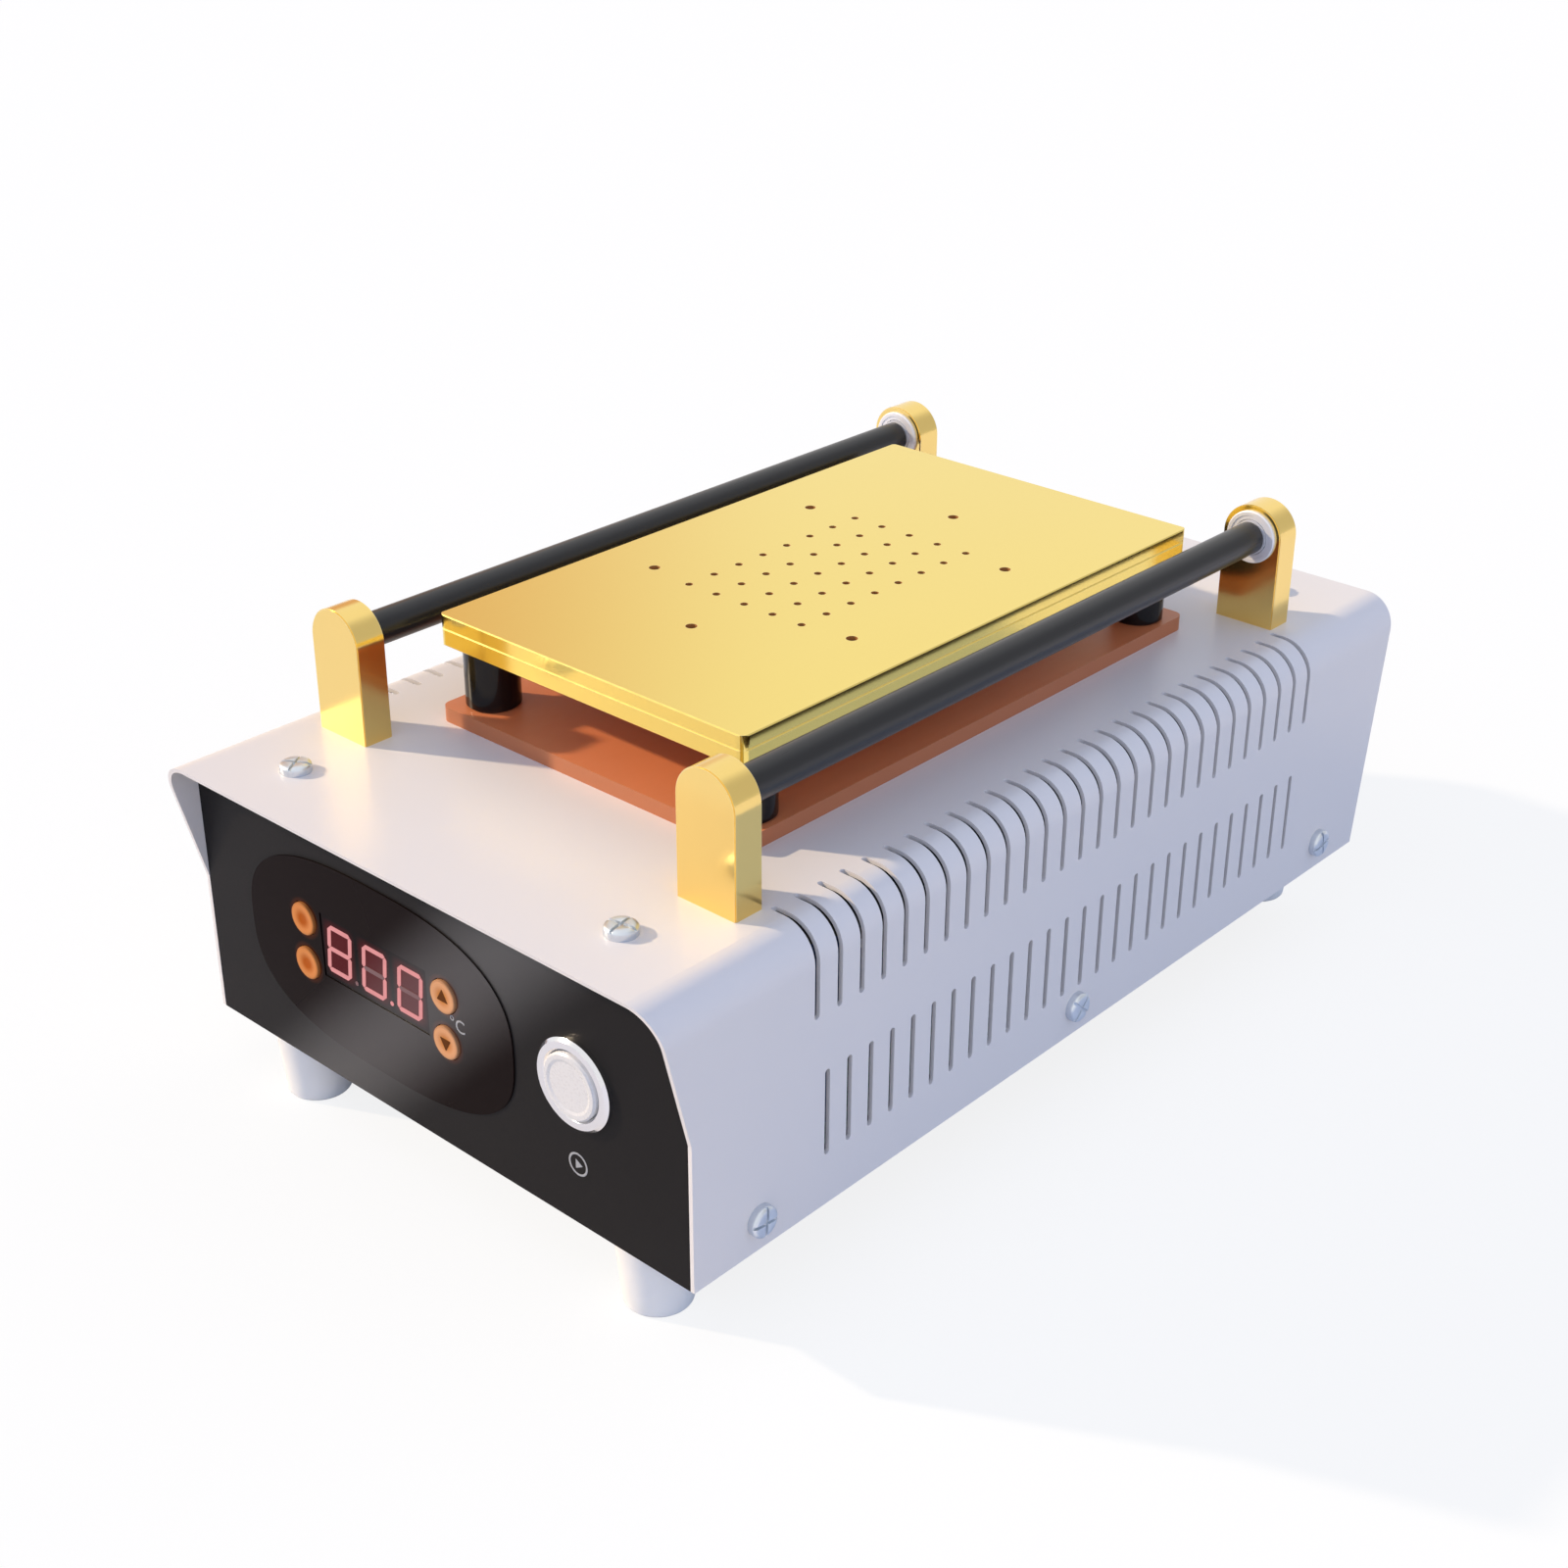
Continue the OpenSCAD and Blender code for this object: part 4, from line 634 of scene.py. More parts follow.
def dress_gold(nodes, name, colour, roughness, stretch):
    """An anodised gold finish, whose brushing follows the stretch."""
    # The paler edge colour is a painted highlight along the sharp edges of the gold.
    return dress(nodes, name, colour, roughness, 1.0, spread=0.03, drift=0.015, drift_size=9,
                 grain_size=400, grain_depth=0.0004, stretch=stretch, edge=(0.98, 0.86, 0.52),
                 edge_amount=0.3)


def upright_mask(tree):
    """One on a piece's upright faces, nought on its level ones."""
    slope = split(tree, add(tree, "ShaderNodeTexCoord").outputs["Normal"])
    return math_node(tree, "LESS_THAN", math_node(tree, "ABSOLUTE", slope["Z"]), 0.5)


def add_cut_edges(material, colour):
    """Gives the upright faces of a sheet the tone of a cut edge."""
    colour_over(material, upright_mask(material.node_tree), colour4(colour))


def add_drilled_walls(material, colour):
    """Makes the walls of drilled holes rough and brown. Only the plate's outer faces are as upright."""
    tree, looks = parts_of(material)
    low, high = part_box("suction_plate")
    middle = (low + high) / 2
    rim = 2 * MM
    away = split(tree, away_from(tree, middle))
    wall = upright_mask(tree)
    for axis, reach in (("X", high.x - middle.x - rim), ("Y", high.y - middle.y - rim)):
        inner = math_node(tree, "LESS_THAN", math_node(tree, "ABSOLUTE", away[axis]), reach)
        wall = math_node(tree, "MULTIPLY", wall, inner)
    colour_over(material, wall, colour4(colour))
    feed(tree, looks["Metallic"], math_node(tree, "SUBTRACT", 1.0, wall))
    smooth = source(looks["Roughness"])
    rough = math_node(tree, "MULTIPLY", wall, 0.7)
    feed(tree, looks["Roughness"], math_node(tree, "MAXIMUM", smooth, rough))


def make_key_finish(name, colour, deep, centre):
    """Orange moulding with painted shade darkening its rim, and a soft deeper spot in its middle."""
    material = make_finish(name, colour, 0.42, drift=0.03, drift_size=120, grain_size=1500,
                           grain_depth=0.004, Specular_IOR_Level=0.06)
    tree = material.node_tree
    # Painted shade: the outer rim of the key is darkened to half its colour.
    rim = place_group(tree, "Round spot", Centre=centre, Radius=4.0 * MM, Softness=0.8 * MM)
    colour_over(material, rim["Outside"], colour4(colour, 0.5))
    spot = place_group(tree, "Round spot", Centre=centre, Radius=1.3 * MM, Softness=1.9 * MM)
    colour_over(material, spot["Inside"], colour4(deep))
    return material


def dress_display_face(settings):
    """Dark face with a red glow round each digit."""
    material = dress(["display_module"], "Display face", (0.006, 0.004, 0.0045), 0.2, drift=0.02,
                     drift_size=60, grain_size=300, grain_depth=0.001, Specular_IOR_Level=0.03,
                     Coat_Roughness=0.35, Coat_IOR=1.6)
    # Part of the same painted sheen band lies on the display face.
    add_painted_sheen(material, 0.72)
    low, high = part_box("lit_segments")
    middle = (low + high) / 2
    tree = material.node_tree
    windows = []
    for step in (-1, 0, 1):
        centre = (middle.x + step * settings.digit_pitch, middle.y, middle.z)
        windows.append(place_group(tree, "Soft oblong", Centre=centre, Half_Width=3.4 * MM,
                                   Half_Height=5.6 * MM, Softness=3.4 * MM)["Inside"])
    light_up(material, largest(tree, windows), BLACK, colour4(settings.glow))


def dress_lit_strokes(settings):
    """Lit strokes that vary a little in brightness."""
    material = dress(["lit_segments"], "Lit stroke", (0.06, 0.03, 0.03), 0.35, drift=0.02,
                     grain_size=900, grain_depth=0.002, Specular_IOR_Level=0.1)
    tree = material.node_tree
    light_up(material, noise_at(tree, object_place(tree), 700.0), colour4(settings.digit, 1.08),
             colour4(settings.digit, 0.88))


def dress_circuit_boards():
    """Solder mask with lighter tracks under it."""
    material = dress(["control_board", "power_board"], "Solder mask", (0.012, 0.11, 0.045), 0.3,
                     drift=0.05, drift_size=60, grain_size=1200, grain_depth=0.004)
    tree = material.node_tree
    tracks = add(tree, "ShaderNodeTexBrick")
    for key, value in (("Scale", 160.0), ("Mortar Size", 0.09), ("Brick Width", 0.9)):
        tracks.inputs[key].default_value = value
    feed(tree, tracks.inputs["Vector"], object_place(tree))
    colour_over(material, tracks.outputs["Fac"], (0.03, 0.24, 0.10, 1))


def dress_fuse():
    """Glass tube with a metal cap at each end."""
    low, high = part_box("fuse")
    cap_length = 5.5 * MM
    material = dress(["fuse"], "Fuse glass and caps", (0.80, 0.82, 0.83), 0.18, drift=0.03,
                     grain_size=900, grain_depth=0.002)
    tree, looks = parts_of(material)
    glass = place_group(tree, "Soft oblong", Centre=tuple((low + high) / 2),
                        Half_Width=(high.x - low.x) / 2 - cap_length, Half_Height=10 * MM,
                        Softness=0.2 * MM)["Inside"]
    feed(tree, looks["Metallic"], math_node(tree, "SUBTRACT", 1.0, glass))
    colour_over(material, glass, (0.42, 0.45, 0.46, 1))


# Finishing the frame's own nodes

class SEPARATOR_OT_finish_cabinet(bpy.types.Operator):
    """Paints the cover, the chassis and the front panel"""
    bl_idname = "separator.finish_cabinet"
    bl_label = "Finish Cabinet"

    def execute(self, context):
        settings = context.scene.separator_cabinet
        dress(["top_cover"], "White powder coat", settings.paint, settings.paint_roughness,
              spread=0.06, drift=0.008, drift_size=14, grain_size=620, grain_depth=0.010,
              Specular_IOR_Level=0.42)
        dress(["chassis"], "Black powder coat", (0.030, 0.030, 0.033), 0.45, spread=0.08,
              drift=0.05, drift_size=30, grain_size=620, grain_depth=0.014,
              edge=(0.12, 0.12, 0.12), edge_amount=0.3)
        panel = dress(["front_panel"], "Satin black panel", settings.panel, 0.42, spread=0.05,
                      drift=0.05, drift_size=18, grain_size=1500, grain_depth=0.003,
                      Specular_IOR_Level=0.08, Coat_Roughness=0.4, Coat_IOR=1.6)
        # The panel and the film get a band of painted sheen.
        add_painted_sheen(panel)
        film = dress(["display_overlay"], "Gloss black film", settings.overlay, 0.2, spread=0.03,
                     drift=0.04, drift_size=22, grain_size=60, grain_depth=0.002,
                     Specular_IOR_Level=0.03, Coat_Roughness=0.35, Coat_IOR=1.6)
        add_painted_sheen(film)
        self.add_painted_key_glow(film)
        return {"FINISHED"}

    def add_painted_key_glow(self, film):
        """Paints a faint orange glow on the film round each key, as light given off by the film itself."""
        painted_glows = []
        for name in KEYS:
            low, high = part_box(name)
            painted_glows.append(place_group(film.node_tree, "Round spot", Centre=tuple((low + high) / 2),
                                     Radius=4.7 * MM, Softness=1.6 * MM)["Inside"])
        light_up(film, largest(film.node_tree, painted_glows), BLACK, (0.060, 0.012, 0.001, 1))


class SEPARATOR_OT_finish_deck(bpy.types.Operator):
    """Finishes the plates, the brackets, the rods with their bearings, and the board"""
    bl_idname = "separator.finish_deck"
    bl_label = "Finish Deck"

    def execute(self, context):
        settings = context.scene.separator_deck
        plate = dress_gold(["chamber_plate"], "Anodised plate", settings.plate, 0.13, (1, 0.12, 1))
        drilled = plate.copy()
        drilled.name = "Drilled anodised plate"
        add_drilled_walls(drilled, settings.hole_wall)
        give(drilled, ["suction_plate"])
        dress_gold(["front_left_bracket", "front_right_bracket", "rear_left_bracket",
                    "rear_right_bracket"], "Anodised bracket", settings.bracket, 0.16, (1, 1, 0.12))
        dress(["left_rod", "right_rod"], "Satin dark rod", settings.rod, 0.30, spread=0.05,
              drift=0.08, drift_size=30, grain_size=900, grain_depth=0.003, stretch=(1, 0.05, 1),
              edge=(0.25, 0.25, 0.26), edge_amount=0.4, Specular_IOR_Level=0.47)
        dress(["bearing_outer_rings", "bearing_shields", "bearing_balls", "left_inner_rings",
               "right_inner_rings"], "Ground bearing steel", (0.90, 0.90, 0.93), 0.38, 0.3,
              spread=0.06, drift=0.03, drift_size=200, grain_size=2500, grain_depth=0.002)
        board = dress(["insulating_board"], "Orange-brown laminate", settings.board, 0.42,
                      spread=0.07, drift=0.06, drift_size=25, grain_size=500, grain_depth=0.008,
                      stretch=(1, 0.4, 3), edge=(0.70, 0.34, 0.16), edge_amount=0.4)
        add_cut_edges(board, settings.board_edge)
        add_lines(board, (0, 0, 1), 2600, 0.012, 0.06)
        dress(["standoffs"], "Gloss black post", (0.005, 0.004, 0.005), 0.13, spread=0.03,
              drift=0.04, grain_size=400, grain_depth=0.001, Specular_IOR_Level=0.3)
        give(zinc(), ["standoff_screws", "bracket_screws", "clamp_screws", "base_screws",
                      "foot_screws", "board_spacers", "start_button_nut"])
        dress(["chamber_seal"], "Red seal", (0.42, 0.05, 0.03), 0.5, drift=0.04, grain_size=800,
              grain_depth=0.01)
        mat = dress(["heater_mat"], "Heater mat", (0.52, 0.11, 0.035), 0.6, spread=0.05,
                    drift=0.05, drift_size=40, grain_size=700, grain_depth=0.02)
        add_lines(mat, (1, 0, 0), 900, 0.05, 0.18)
        add_lines(mat, (0, 1, 0), 900, 0.05, 0.18)
        dress(["temperature_probe"], "Drawn steel sheath", (0.70, 0.70, 0.72), 0.26, 1.0,
              drift=0.04, grain_size=1200, grain_depth=0.003, stretch=(1, 0.06, 1))
        return {"FINISHED"}


class SEPARATOR_OT_finish_controls(bpy.types.Operator):
    """Finishes the display, the start button and the boards behind the panel"""
    bl_idname = "separator.finish_controls"
    bl_label = "Finish Controls"

    def execute(self, context):
        settings = context.scene.separator_controls
        dress_display_face(settings)
        dress_lit_strokes(settings)
        dress(["unlit_segments"], "Unlit stroke", (0.20, 0.115, 0.12), 0.3, drift=0.04,
              drift_size=200, grain_size=900, grain_depth=0.002, Specular_IOR_Level=0.1)
        dress_circuit_boards()
        dress(["key_switches"], "Switch moulding", (0.022, 0.022, 0.024), 0.5, grain_size=900,
              grain_depth=0.01)
        dress(["start_button_housing"], "Polished bezel", (0.80, 0.80, 0.82), 0.12, 1.0,
              spread=0.04, drift=0.02, grain_size=1800, grain_depth=0.001)
        dress(["start_button_cap"], "White button cap", (0.74, 0.735, 0.735), 0.28, spread=0.04,
              drift=0.01, grain_size=1500, grain_depth=0.003)
        return {"FINISHED"}


class SEPARATOR_OT_finish_inlet(bpy.types.Operator):
    """Finishes the mains inlet with its drawer, fuse, pins and rocker"""
    bl_idname = "separator.finish_inlet"
    bl_label = "Finish Mains Inlet"

    def execute(self, context):
        dress(["mains_inlet", "fuse_drawer"], "Moulded inlet", (0.018, 0.018, 0.020), 0.46,
              spread=0.08, drift=0.05, drift_size=80, grain_size=1100, grain_depth=0.012,
              edge=(0.07, 0.07, 0.075), edge_amount=0.5)
        dress(["inlet_pins"], "Nickel pin", (0.74, 0.70, 0.62), 0.22, 1.0, grain_size=1600,
              grain_depth=0.002, stretch=(1, 0.1, 1))
        dress_fuse()
        dress(["power_rocker"], "Red rocker", (0.50, 0.016, 0.014), 0.26, spread=0.04, drift=0.03,
              grain_size=1200, grain_depth=0.004)
        return {"FINISHED"}


class SEPARATOR_OT_finish_inside(bpy.types.Operator):
    """Finishes the hose, the pump, the transformer, the relay and the power board"""
    bl_idname = "separator.finish_inside"
    bl_label = "Finish Inside"

    def execute(self, context):
        dress(["vacuum_nipple"], "Turned brass", (0.74, 0.50, 0.17), 0.25, 1.0, drift=0.04,
              grain_size=900, grain_depth=0.004, stretch=(0.2, 0.2, 1))
        dress(["vacuum_hose"], "Milky silicone", (0.74, 0.74, 0.70), 0.4, spread=0.06, drift=0.03,
              grain_size=300, grain_depth=0.01, Transmission_Weight=0.25)
        dress(["hose_grommet", "pump_mounts"], "Black rubber", (0.018, 0.018, 0.018), 0.7,
              spread=0.08, drift=0.06, grain_size=900, grain_depth=0.02)
        dress(["pump_head", "pump_saddle"], "Moulded pump", (0.028, 0.028, 0.030), 0.5,
              spread=0.08, drift=0.05, grain_size=800, grain_depth=0.02, edge=(0.1, 0.1, 0.1),
              edge_amount=0.4)
        dress(["pump_motor"], "Drawn motor can", (0.60, 0.60, 0.62), 0.3, 1.0, spread=0.08,
              drift=0.05, grain_size=700, grain_depth=0.005, stretch=(1, 0.06, 1))
        core = dress(["transformer_core"], "Varnished core", (0.10, 0.10, 0.11), 0.4, 0.6,
                     spread=0.08, drift=0.1, grain_size=500, grain_depth=0.01)
        add_lines(core, (0, 1, 0), 1400, 0.08, 0.35)
        tape = dress(["transformer_coil"], "Yellow tape", (0.66, 0.47, 0.06), 0.3, spread=0.06,
                     drift=0.04, grain_size=200, grain_depth=0.02)
        add_lines(tape, (0, 0, 1), 170, 0.15, 0.12)
        dress(["heater_relay"], "Cream moulding", (0.66, 0.64, 0.55), 0.42, spread=0.05,
              drift=0.03, grain_size=900, grain_depth=0.01)
        dress(["power_board_parts"], "Blue mouldings", (0.035, 0.08, 0.27), 0.35, spread=0.06,
              drift=0.06, grain_size=700, grain_depth=0.01)
        return {"FINISHED"}


# Cover screws

def model_cover_screw(settings, height, shank_length):
    """A drum-headed screw standing on the origin, with a flat top and a cross cut through its rim."""
    radius = settings.head_radius
    wall = height * 0.60
    rise = height - wall
    rim = radius * 0.34
    steps = 5
    bpy.ops.mesh.primitive_cylinder_add(vertices=48, radius=radius, depth=wall,
                                        location=(0, 0, wall / 2))
    screw = bpy.context.object
    apply_place(screw)
    start_edit(screw)
    pick_faces(screw, lambda centre, normal: normal.z > 0.9)
    reach = radius
    top = wall
    for step in range(1, steps + 1):
        turn = math.pi / 2 * step / steps
        next_top = wall + rise * math.sin(turn)
        next_reach = radius - rim * (1 - math.cos(turn))
        push((0, 0, next_top - top))
        share = next_reach / reach
        scale_about((0, 0, next_top), (share, share, 1))
        reach = next_reach
        top = next_top
    pick_faces(screw, lambda centre, normal: normal.z < -0.9)
    inset(radius - settings.shank_radius)
    push((0, 0, -shank_length))
    end_edit()
    bar_size = (2.4 * radius, settings.recess_width, 2 * settings.recess_depth)
    for turn in (0, math.pi / 2):
        bpy.ops.mesh.primitive_cube_add(size=1, location=(0, 0, height), rotation=(0, 0, turn))
        bar = bpy.context.object
        bar.scale = bar_size
        apply_place(bar)
        cut(screw, bar)
    round_edges(screw, 0.14 * MM)
    finish_mesh(screw)
    return screw


class SEPARATOR_OT_add_cover_screws(bpy.types.Operator):
    """Puts screws into the top and the sides of the cover"""
    bl_idname = "separator.add_cover_screws"
    bl_label = "Add Cover Screws"

    def execute(self, context):
        settings = context.scene.separator_screws
        radius = settings.head_radius
        cover_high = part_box("top_cover")[1]
        low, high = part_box("top_screws")
        screw = model_cover_screw(settings, high.z - cover_high.z, cover_high.z - low.z)
        top = []
        for index, (side, end) in enumerate(((-1, -1), (1, -1), (-1, 1), (1, 1))):
            place = (side * (high.x - radius), end * (high.y - radius), cover_high.z)
            turn = Matrix.Rotation(math.radians(32 + 67 * index), 4, "Z")
            top.append(copy_at(screw, Matrix.Translation(place) @ turn))
        fit(join_as("top_cover_screws", top), zinc(), "root", "zinc_steel", "top_screws")
        low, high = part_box("side_screws")
        sides = []
        for index, (side, step) in enumerate((s, t) for s in (-1, 1) for t in (-1, 0, 1)):
            place = (side * cover_high.x, step * (high.y - radius), (low.z + high.z) / 2)
            lay = Matrix.Rotation(side * math.pi / 2, 4, "Y")
            turn = Matrix.Rotation(math.radians(15 + 53 * index), 4, "Z")
            sides.append(copy_at(screw, Matrix.Translation(place) @ lay @ turn))
        fit(join_as("side_cover_screws", sides), zinc(), "root", "zinc_steel", "side_screws")
        bpy.data.objects.remove(screw)
        return {"FINISHED"}


# Feet

def model_foot(height, top_radius):
    """A tapered foot standing on the origin, hollow from below, with a hole for its screw."""
    low_radius = 9 * MM
    mouth_radius = 4.6 * MM
    taper = 0.87
    seat_ring = 1.98 * MM
    floor = 4 * MM
    hole_radius = 2.02 * MM
    bpy.ops.mesh.primitive_cone_add(vertices=64, radius1=low_radius, radius2=top_radius,
                                    depth=height, location=(0, 0, height / 2))
    foot = bpy.context.object
    apply_place(foot)
    start_edit(foot)
    pick_faces(foot, lambda centre, normal: normal.z < -0.9)
    inset(low_radius - mouth_radius)
    push((0, 0, height - floor))
    scale_about((0, 0, height - floor), (taper, taper, 1))
    inset(seat_ring)
    push((0, 0, floor))
    bpy.ops.mesh.delete(type="FACE")
    pick_faces(foot, lambda centre, normal: normal.z > 0.9 and centre.z > height * 0.9)
    inset(top_radius - hole_radius)
    bpy.ops.mesh.delete(type="FACE")
    end_edit()
    finish_mesh(foot, weld=0.02 * MM)
    round_edges(foot, 0.9 * MM, 4, 60)
    finish_mesh(foot)
    return foot


class SEPARATOR_OT_add_feet(bpy.types.Operator):
    """Puts moulded rubber feet under the chassis"""
    bl_idname = "separator.add_feet"
    bl_label = "Add Feet"

    def execute(self, context):
        low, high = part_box("rubber_feet")
        top_radius = 11 * MM
        foot = model_foot(high.z - low.z, top_radius)
        feet = []
        for side in (-1, 1):
            for end in (-1, 1):
                place = (side * (high.x - top_radius), end * (high.y - top_radius), 0)
                feet.append(copy_at(foot, Matrix.Translation(place)))
        bpy.data.objects.remove(foot)
        rubber = make_finish(
            "Pale rubber", context.scene.separator_cabinet.foot, 0.55, spread=0.08, drift=0.03,
            drift_size=60, grain_size=700, grain_depth=0.02, Subsurface_Weight=0.3,
            Subsurface_Scale=4 * MM, Subsurface_Radius=(1.0, 0.95, 0.90))
        fit(join_as("moulded_feet", feet), rubber, "root", "foot_rubber", "rubber_feet")
        return {"FINISHED"}


# Keys and marks

def model_key(low, high):
    """A round key with a soft rim, its flange behind the panel and its stem. It faces -Y."""
    centre = (low + high) / 2
    flange_radius = (high.x - low.x) / 2
    radius = flange_radius - FLANGE_REACH
    front = low.y
    rounding = 0.35 * MM
    rim_width = 1.2 * MM
    slope_width = 0.3 * MM
    dish_depth = 0.06 * MM
    bpy.ops.mesh.primitive_cylinder_add(
        vertices=64, radius=radius, depth=FLANGE_FRONT_Y - front, rotation=(math.pi / 2, 0, 0),
        location=(centre.x, (front + FLANGE_FRONT_Y) / 2, centre.z))
    key = bpy.context.object
    apply_place(key)
    start_edit(key)
    pick_faces(key, lambda middle, normal: normal.y > 0.9)
    push((0, 0, 0))
    share = flange_radius / radius
    scale_about((centre.x, FLANGE_FRONT_Y, centre.z), (share, 1, share))
    push((0, FLANGE_THICKNESS, 0))
    inset(flange_radius - STEM_RADIUS)
    push((0, high.y - FLANGE_FRONT_Y - FLANGE_THICKNESS, 0))
    bpy.ops.mesh.select_mode(type="EDGE")
    pick_edges(key, lambda a, b: max(a.y, b.y) < front + 0.01 * MM)
    bpy.ops.mesh.bevel(offset=rounding, segments=4, profile=0.5)
    bpy.ops.mesh.select_mode(type="FACE")
    pick_faces(key, lambda middle, normal: normal.y < -0.99)
    inset(rim_width)
    inset(slope_width, -dish_depth)
    end_edit()
    finish_mesh(key, 40)
    return key


def model_arrow_head(radius, corner, segments):
    """A flat arrow head about the origin with rounded corners, pointing along Y."""
    bpy.ops.mesh.primitive_cylinder_add(vertices=3, radius=radius, depth=PRINT_THICKNESS)
    head = bpy.context.object
    start_edit(head, "EDGE")
    pick_edges(head, lambda a, b: abs(a.z - b.z) > 0.01 * MM)
    bpy.ops.mesh.bevel(offset=corner, segments=segments)
    end_edit()
    return head


def model_ring(radius, half_line, segments):
    """A flat ring about the origin, lying level."""
    bpy.ops.mesh.primitive_torus_add(major_radius=radius, minor_radius=half_line,
                                     major_segments=segments, minor_segments=8)
    ring = bpy.context.object
    ring.scale = (1, 1, 0.14)
    apply_place(ring)
    return ring


def model_bar(width, height):
    """A flat upright bar about the origin."""
    bpy.ops.mesh.primitive_cube_add(size=1)
    bar = bpy.context.object
    bar.scale = (width, PRINT_THICKNESS, height)
    apply_place(bar)
    round_edges(bar, 0.02 * MM, 1)
    return bar


class SEPARATOR_OT_add_keys(bpy.types.Operator):
    """Puts the four round keys into the panel, with arrows on the right ones"""
    bl_idname = "separator.add_keys"
    bl_label = "Add Keys"

    def execute(self, context):
        settings = context.scene.separator_controls
        ink = make_finish("Key print", (0.11, 0.030, 0.001), 0.6, drift=0.05, drift_size=300,
                          grain_size=2000, grain_depth=0.002, Specular_IOR_Level=0.1)
        arrow_turns = {"key_up": 0, "key_down": math.pi}
        for name in KEYS:
            low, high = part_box(name)
            centre = (low + high) / 2
            key = model_key(low, high)
            key.name = name + "_cap"
            colours = (settings.key, settings.key_middle)
            if name in arrow_turns:
                colours = (settings.arrow_key, settings.arrow_key_middle)
            finish = make_key_finish("Orange " + name.replace("_", " "), *colours, tuple(centre))
            fit(key, finish, name + "_body", "key_orange", name)
            if name in arrow_turns:
                arrow = model_arrow_head(settings.arrow_size * 2 / 3, 0.3 * MM, 4)
                place = Matrix.Translation((centre.x, low.y + 0.06 * MM, centre.z))
                stand = Matrix.Rotation(math.pi / 2, 4, "X")
                arrow.data.transform(place @ stand @ Matrix.Rotation(arrow_turns[name], 4, "Z"))
                finish_mesh(arrow)
                arrow.name = name + "_arrow"
                fit(arrow, ink, name + "_body", "switch_black")
        return {"FINISHED"}


class SEPARATOR_OT_add_marks(bpy.types.Operator):
    """Prints the unit beside the display, the start mark, and the off and on marks on the rocker"""
    bl_idname = "separator.add_marks"
    bl_label = "Add Marks"

    def execute(self, context):
        ink = make_finish("Pale print", (0.36, 0.37, 0.39), 0.5, drift=0.05, drift_size=400,
                          grain_size=2000, grain_depth=0.002)
        self.add_unit(ink)
        self.add_start_mark(ink)
        self.add_rocker_marks(ink)
        return {"FINISHED"}

    def add_unit(self, ink):
        """The unit of temperature, on the film beside the right keys."""
        half_thickness = 0.03 * MM
        unit_x = 12.3 * MM
        unit_z = 61.2 * MM
        front_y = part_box("display_overlay")[0].y
        bpy.ops.object.text_add(location=(0, 0, 0))
        text = bpy.context.object
        text.data.body = "°C"
        text.data.size = 5.4 * MM
        text.data.extrude = half_thickness
        text.data.align_x = "CENTER"
        text.data.align_y = "CENTER"
        select_only(text)
        bpy.ops.object.convert(target="MESH")
        unit = bpy.context.object
        unit.rotation_euler = (math.pi / 2, 0, 0)
        unit.location = (unit_x, front_y - half_thickness, unit_z)
        apply_place(unit)
        finish_mesh(unit)
        unit.name = "unit_mark"
        fit(unit, ink, "root", "button_cap")

    def add_start_mark(self, ink):
        """A ring round an arrow head on the panel, under the start button."""
        middle = (54.3 * MM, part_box("front_panel")[0].y - 0.02 * MM, 40 * MM)
        ring = model_ring(3.0 * MM, 0.3 * MM, 48)
        head = model_arrow_head(1.6 * MM, 0.2 * MM, 3)
        head.data.transform(Matrix.Rotation(-math.pi / 2, 4, "Z"))
        mark = join_as("start_mark", [ring, head])
        mark.data.transform(Matrix.Translation(middle) @ Matrix.Rotation(math.pi / 2, 4, "X"))
        finish_mesh(mark)
        fit(mark, ink, "root", "button_cap")

    def add_rocker_marks(self, ink):
        """A bar on the rocker's one half and a ring on the other, flat on its slanted faces."""
        low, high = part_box("power_rocker")
        axis = (-52 * MM, 148.3 * MM, (low.z + high.z) / 2)
        off_turn = math.radians(-9)
        slope = 1.1 / 6.4
        slope_start = 2.5 * MM
        start_rise = 3.3 * MM
        reach = 5.2 * MM
        rise = start_rise + (reach - slope_start) * slope
        bar = model_bar(0.8 * MM, 4.2 * MM)
        ring = model_ring(1.7 * MM, 0.32 * MM, 40)
        ring.data.transform(Matrix.Rotation(math.pi / 2, 4, "X"))
        for name, mark, side in (("rocker_on_mark", bar, -1), ("rocker_off_mark", ring, 1)):
            mark.data.transform(Matrix.Translation(axis) @ Matrix.Rotation(off_turn, 4, "Z")
                                @ Matrix.Translation((side * reach, rise, 0))
                                @ Matrix.Rotation(side * math.atan(slope), 4, "Z"))
            finish_mesh(mark)
            mark.name = name
            fit(mark, ink, "rocker_body", "button_cap")


# Stage

def mix_shaders(tree, share, first, second):
    node = add(tree, "ShaderNodeMixShader")
    for socket, value in zip(node.inputs, (share, first, second)):
        tree.links.new(value, socket)
    return node.outputs[0]


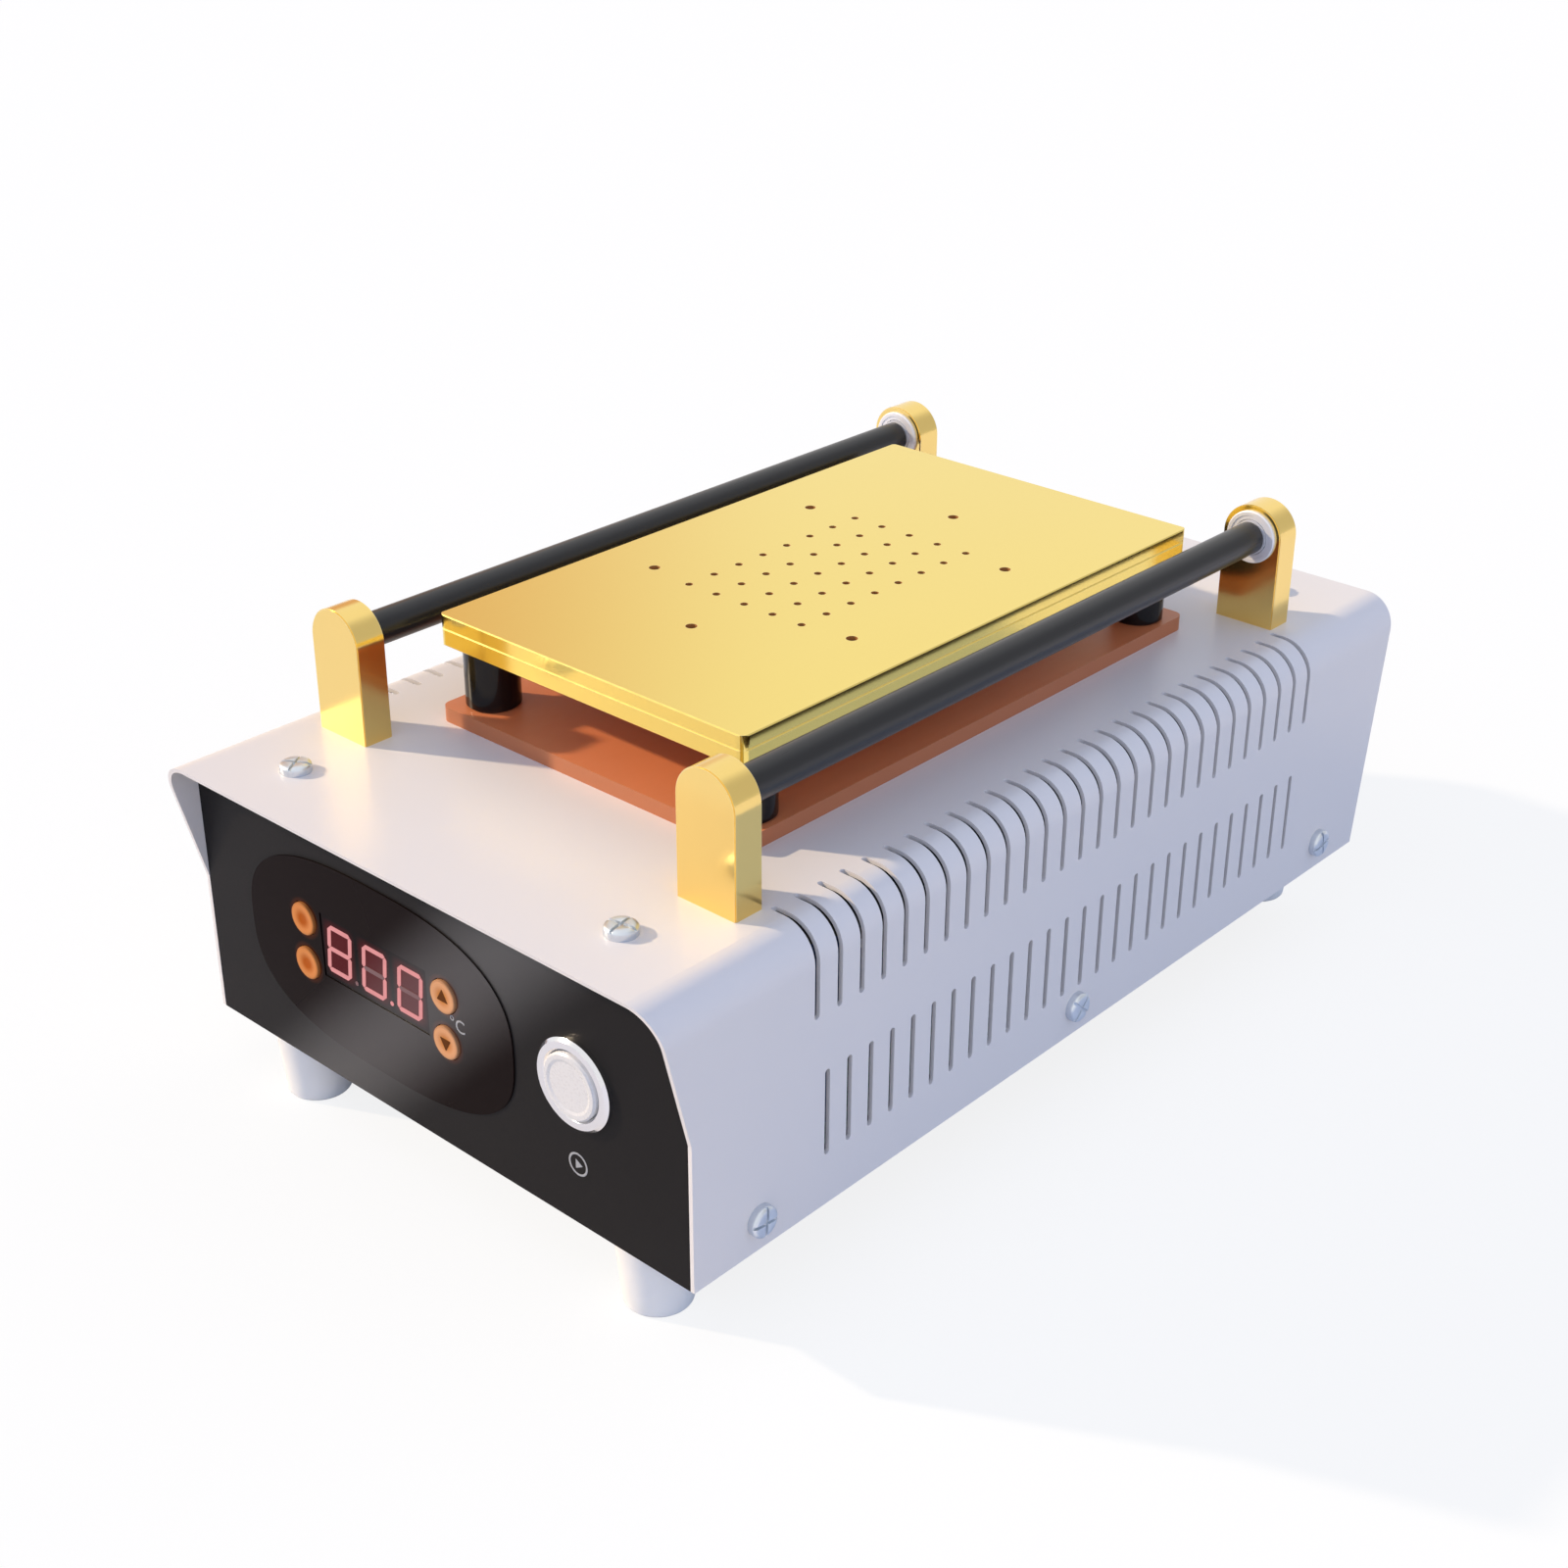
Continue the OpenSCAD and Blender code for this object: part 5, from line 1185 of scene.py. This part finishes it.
class SEPARATOR_OT_set_stage(bpy.types.Operator):
    """Sets the floor, the light and the camera"""
    bl_idname = "separator.set_stage"
    bl_label = "Set Stage"

    def execute(self, context):
        settings = context.scene.separator_stage
        context.scene.view_settings.view_transform = "Standard"
        self.lay_floor(settings)
        self.light_sky(context.scene, settings)
        self.add_sun(settings)
        self.add_camera(context.scene, settings)
        return {"FINISHED"}

    def lay_floor(self, settings):
        """A floor that camera and metal see as white with a shadow, and that is clear from below."""
        bpy.ops.mesh.primitive_plane_add(size=8, location=(0, 0, -0.1 * MM))
        floor = bpy.context.object
        floor.name = "floor"
        material = bpy.data.materials.new("White floor")
        material.use_nodes = True
        tree = material.node_tree
        tree.nodes.remove(tree.nodes["Principled BSDF"])
        ray = add(tree, "ShaderNodeLightPath").outputs
        back = add(tree, "ShaderNodeNewGeometry").outputs["Backfacing"]
        plain = add(tree, "ShaderNodeBsdfDiffuse")
        seen = largest(tree, [ray["Is Camera Ray"], ray["Is Glossy Ray"]])
        tree.links.new(mix_colour(tree, seen, (0.60, 0.60, 0.60, 1), WHITE), plain.inputs["Color"])
        white = add(tree, "ShaderNodeEmission").outputs[0]
        clear = add(tree, "ShaderNodeBsdfTransparent").outputs[0]
        share = math_node(tree, "MULTIPLY", ray["Is Camera Ray"], 1 - settings.shadow)
        below = math_node(tree, "MULTIPLY", ray["Is Camera Ray"], back)
        whole = mix_shaders(tree, below, mix_shaders(tree, share, plain.outputs[0], white), clear)
        tree.links.new(whole, tree.nodes["Material Output"].inputs["Surface"])
        floor.data.materials.append(material)

    def light_sky(self, scene, settings):
        """Pale light from all round, which the camera, metal and glass see as a white studio."""
        world = bpy.data.worlds.new("Studio")
        world.use_nodes = True
        scene.world = world
        tree = world.node_tree
        background = tree.nodes["Background"]
        ray = add(tree, "ShaderNodeLightPath").outputs
        seen = largest(tree, [ray["Is Camera Ray"], ray["Is Glossy Ray"], ray["Is Transmission Ray"]])
        way = add(tree, "ShaderNodeTexCoord").outputs["Generated"]
        studio = WHITE
        for heading, start, end, colour in STUDIO_PATCHES:
            patch = add(tree, "ShaderNodeMapRange", interpolation_type="SMOOTHSTEP")
            tree.links.new(vector_node(tree, "DOT_PRODUCT", way, heading), patch.inputs["Value"])
            patch.inputs["From Min"].default_value = start
            patch.inputs["From Max"].default_value = end
            share = math_node(tree, "MULTIPLY", patch.outputs[0], ray["Is Glossy Ray"])
            studio = mix_colour(tree, share, studio, colour)
        lean = math_node(tree, "ADD", vector_node(tree, "DOT_PRODUCT", way, settings.sky_lean), 1.0)
        sky = scaled(tree, settings.sky, lean)
        tree.links.new(mix_colour(tree, seen, sky, studio), background.inputs["Color"])
        background.inputs["Strength"].default_value = 1.0

    def add_sun(self, settings):
        heading = Vector(settings.sun_heading).normalized()
        bpy.ops.object.light_add(type="SUN", location=tuple(-heading))
        sun = bpy.context.object
        sun.rotation_euler = heading.to_track_quat("-Z", "Y").to_euler()
        sun.data.energy = settings.sun_strength
        sun.data.angle = math.radians(2)
        sun.data.color = settings.sun_colour

    def add_camera(self, scene, settings):
        bpy.ops.object.camera_add(location=tuple(settings.camera_place),
                                  rotation=tuple(settings.camera_turn))
        camera = bpy.context.object
        camera.data.lens = settings.lens
        camera.data.sensor_width = 36
        camera.data.clip_start = 0.01
        scene.camera = camera


class SEPARATOR_PT_looks(bpy.types.Panel):
    """Lists the steps and settings in the 3D view's sidebar"""
    bl_idname = "SEPARATOR_PT_looks"
    bl_label = "Screen Separator"
    bl_space_type = "VIEW_3D"
    bl_region_type = "UI"
    bl_category = "Separator"

    def draw(self, context):
        layout = self.layout
        for step in STEPS:
            layout.operator(step.bl_idname)
        for name, group in SETTINGS.items():
            box = layout.box()
            box.label(text=group.__doc__)
            settings = getattr(context.scene, name)
            for key in group.__annotations__:
                box.prop(settings, key)


SETTINGS = {
    "separator_cabinet": CabinetSettings,
    "separator_deck": DeckSettings,
    "separator_controls": ControlSettings,
    "separator_screws": ScrewSettings,
    "separator_stage": StageSettings,
}

STEPS = (
    SEPARATOR_OT_finish_cabinet,
    SEPARATOR_OT_finish_deck,
    SEPARATOR_OT_finish_controls,
    SEPARATOR_OT_finish_inlet,
    SEPARATOR_OT_finish_inside,
    SEPARATOR_OT_add_cover_screws,
    SEPARATOR_OT_add_feet,
    SEPARATOR_OT_add_keys,
    SEPARATOR_OT_add_marks,
    SEPARATOR_OT_set_stage,
)


def register():
    for name, group in SETTINGS.items():
        bpy.utils.register_class(group)
        setattr(bpy.types.Scene, name, bpy.props.PointerProperty(type=group))
    for step in STEPS:
        bpy.utils.register_class(step)
    bpy.utils.register_class(SEPARATOR_PT_looks)


def unregister():
    bpy.utils.unregister_class(SEPARATOR_PT_looks)
    for step in reversed(STEPS):
        bpy.utils.unregister_class(step)
    for name, group in reversed(SETTINGS.items()):
        delattr(bpy.types.Scene, name)
        bpy.utils.unregister_class(group)


def main():
    register()
    bpy.ops.separator.finish_cabinet()
    bpy.ops.separator.finish_deck()
    bpy.ops.separator.finish_controls()
    bpy.ops.separator.finish_inlet()
    bpy.ops.separator.finish_inside()
    bpy.ops.separator.add_cover_screws()
    bpy.ops.separator.add_feet()
    bpy.ops.separator.add_keys()
    bpy.ops.separator.add_marks()
    bpy.ops.separator.set_stage()


if __name__ == "__main__":
    main()
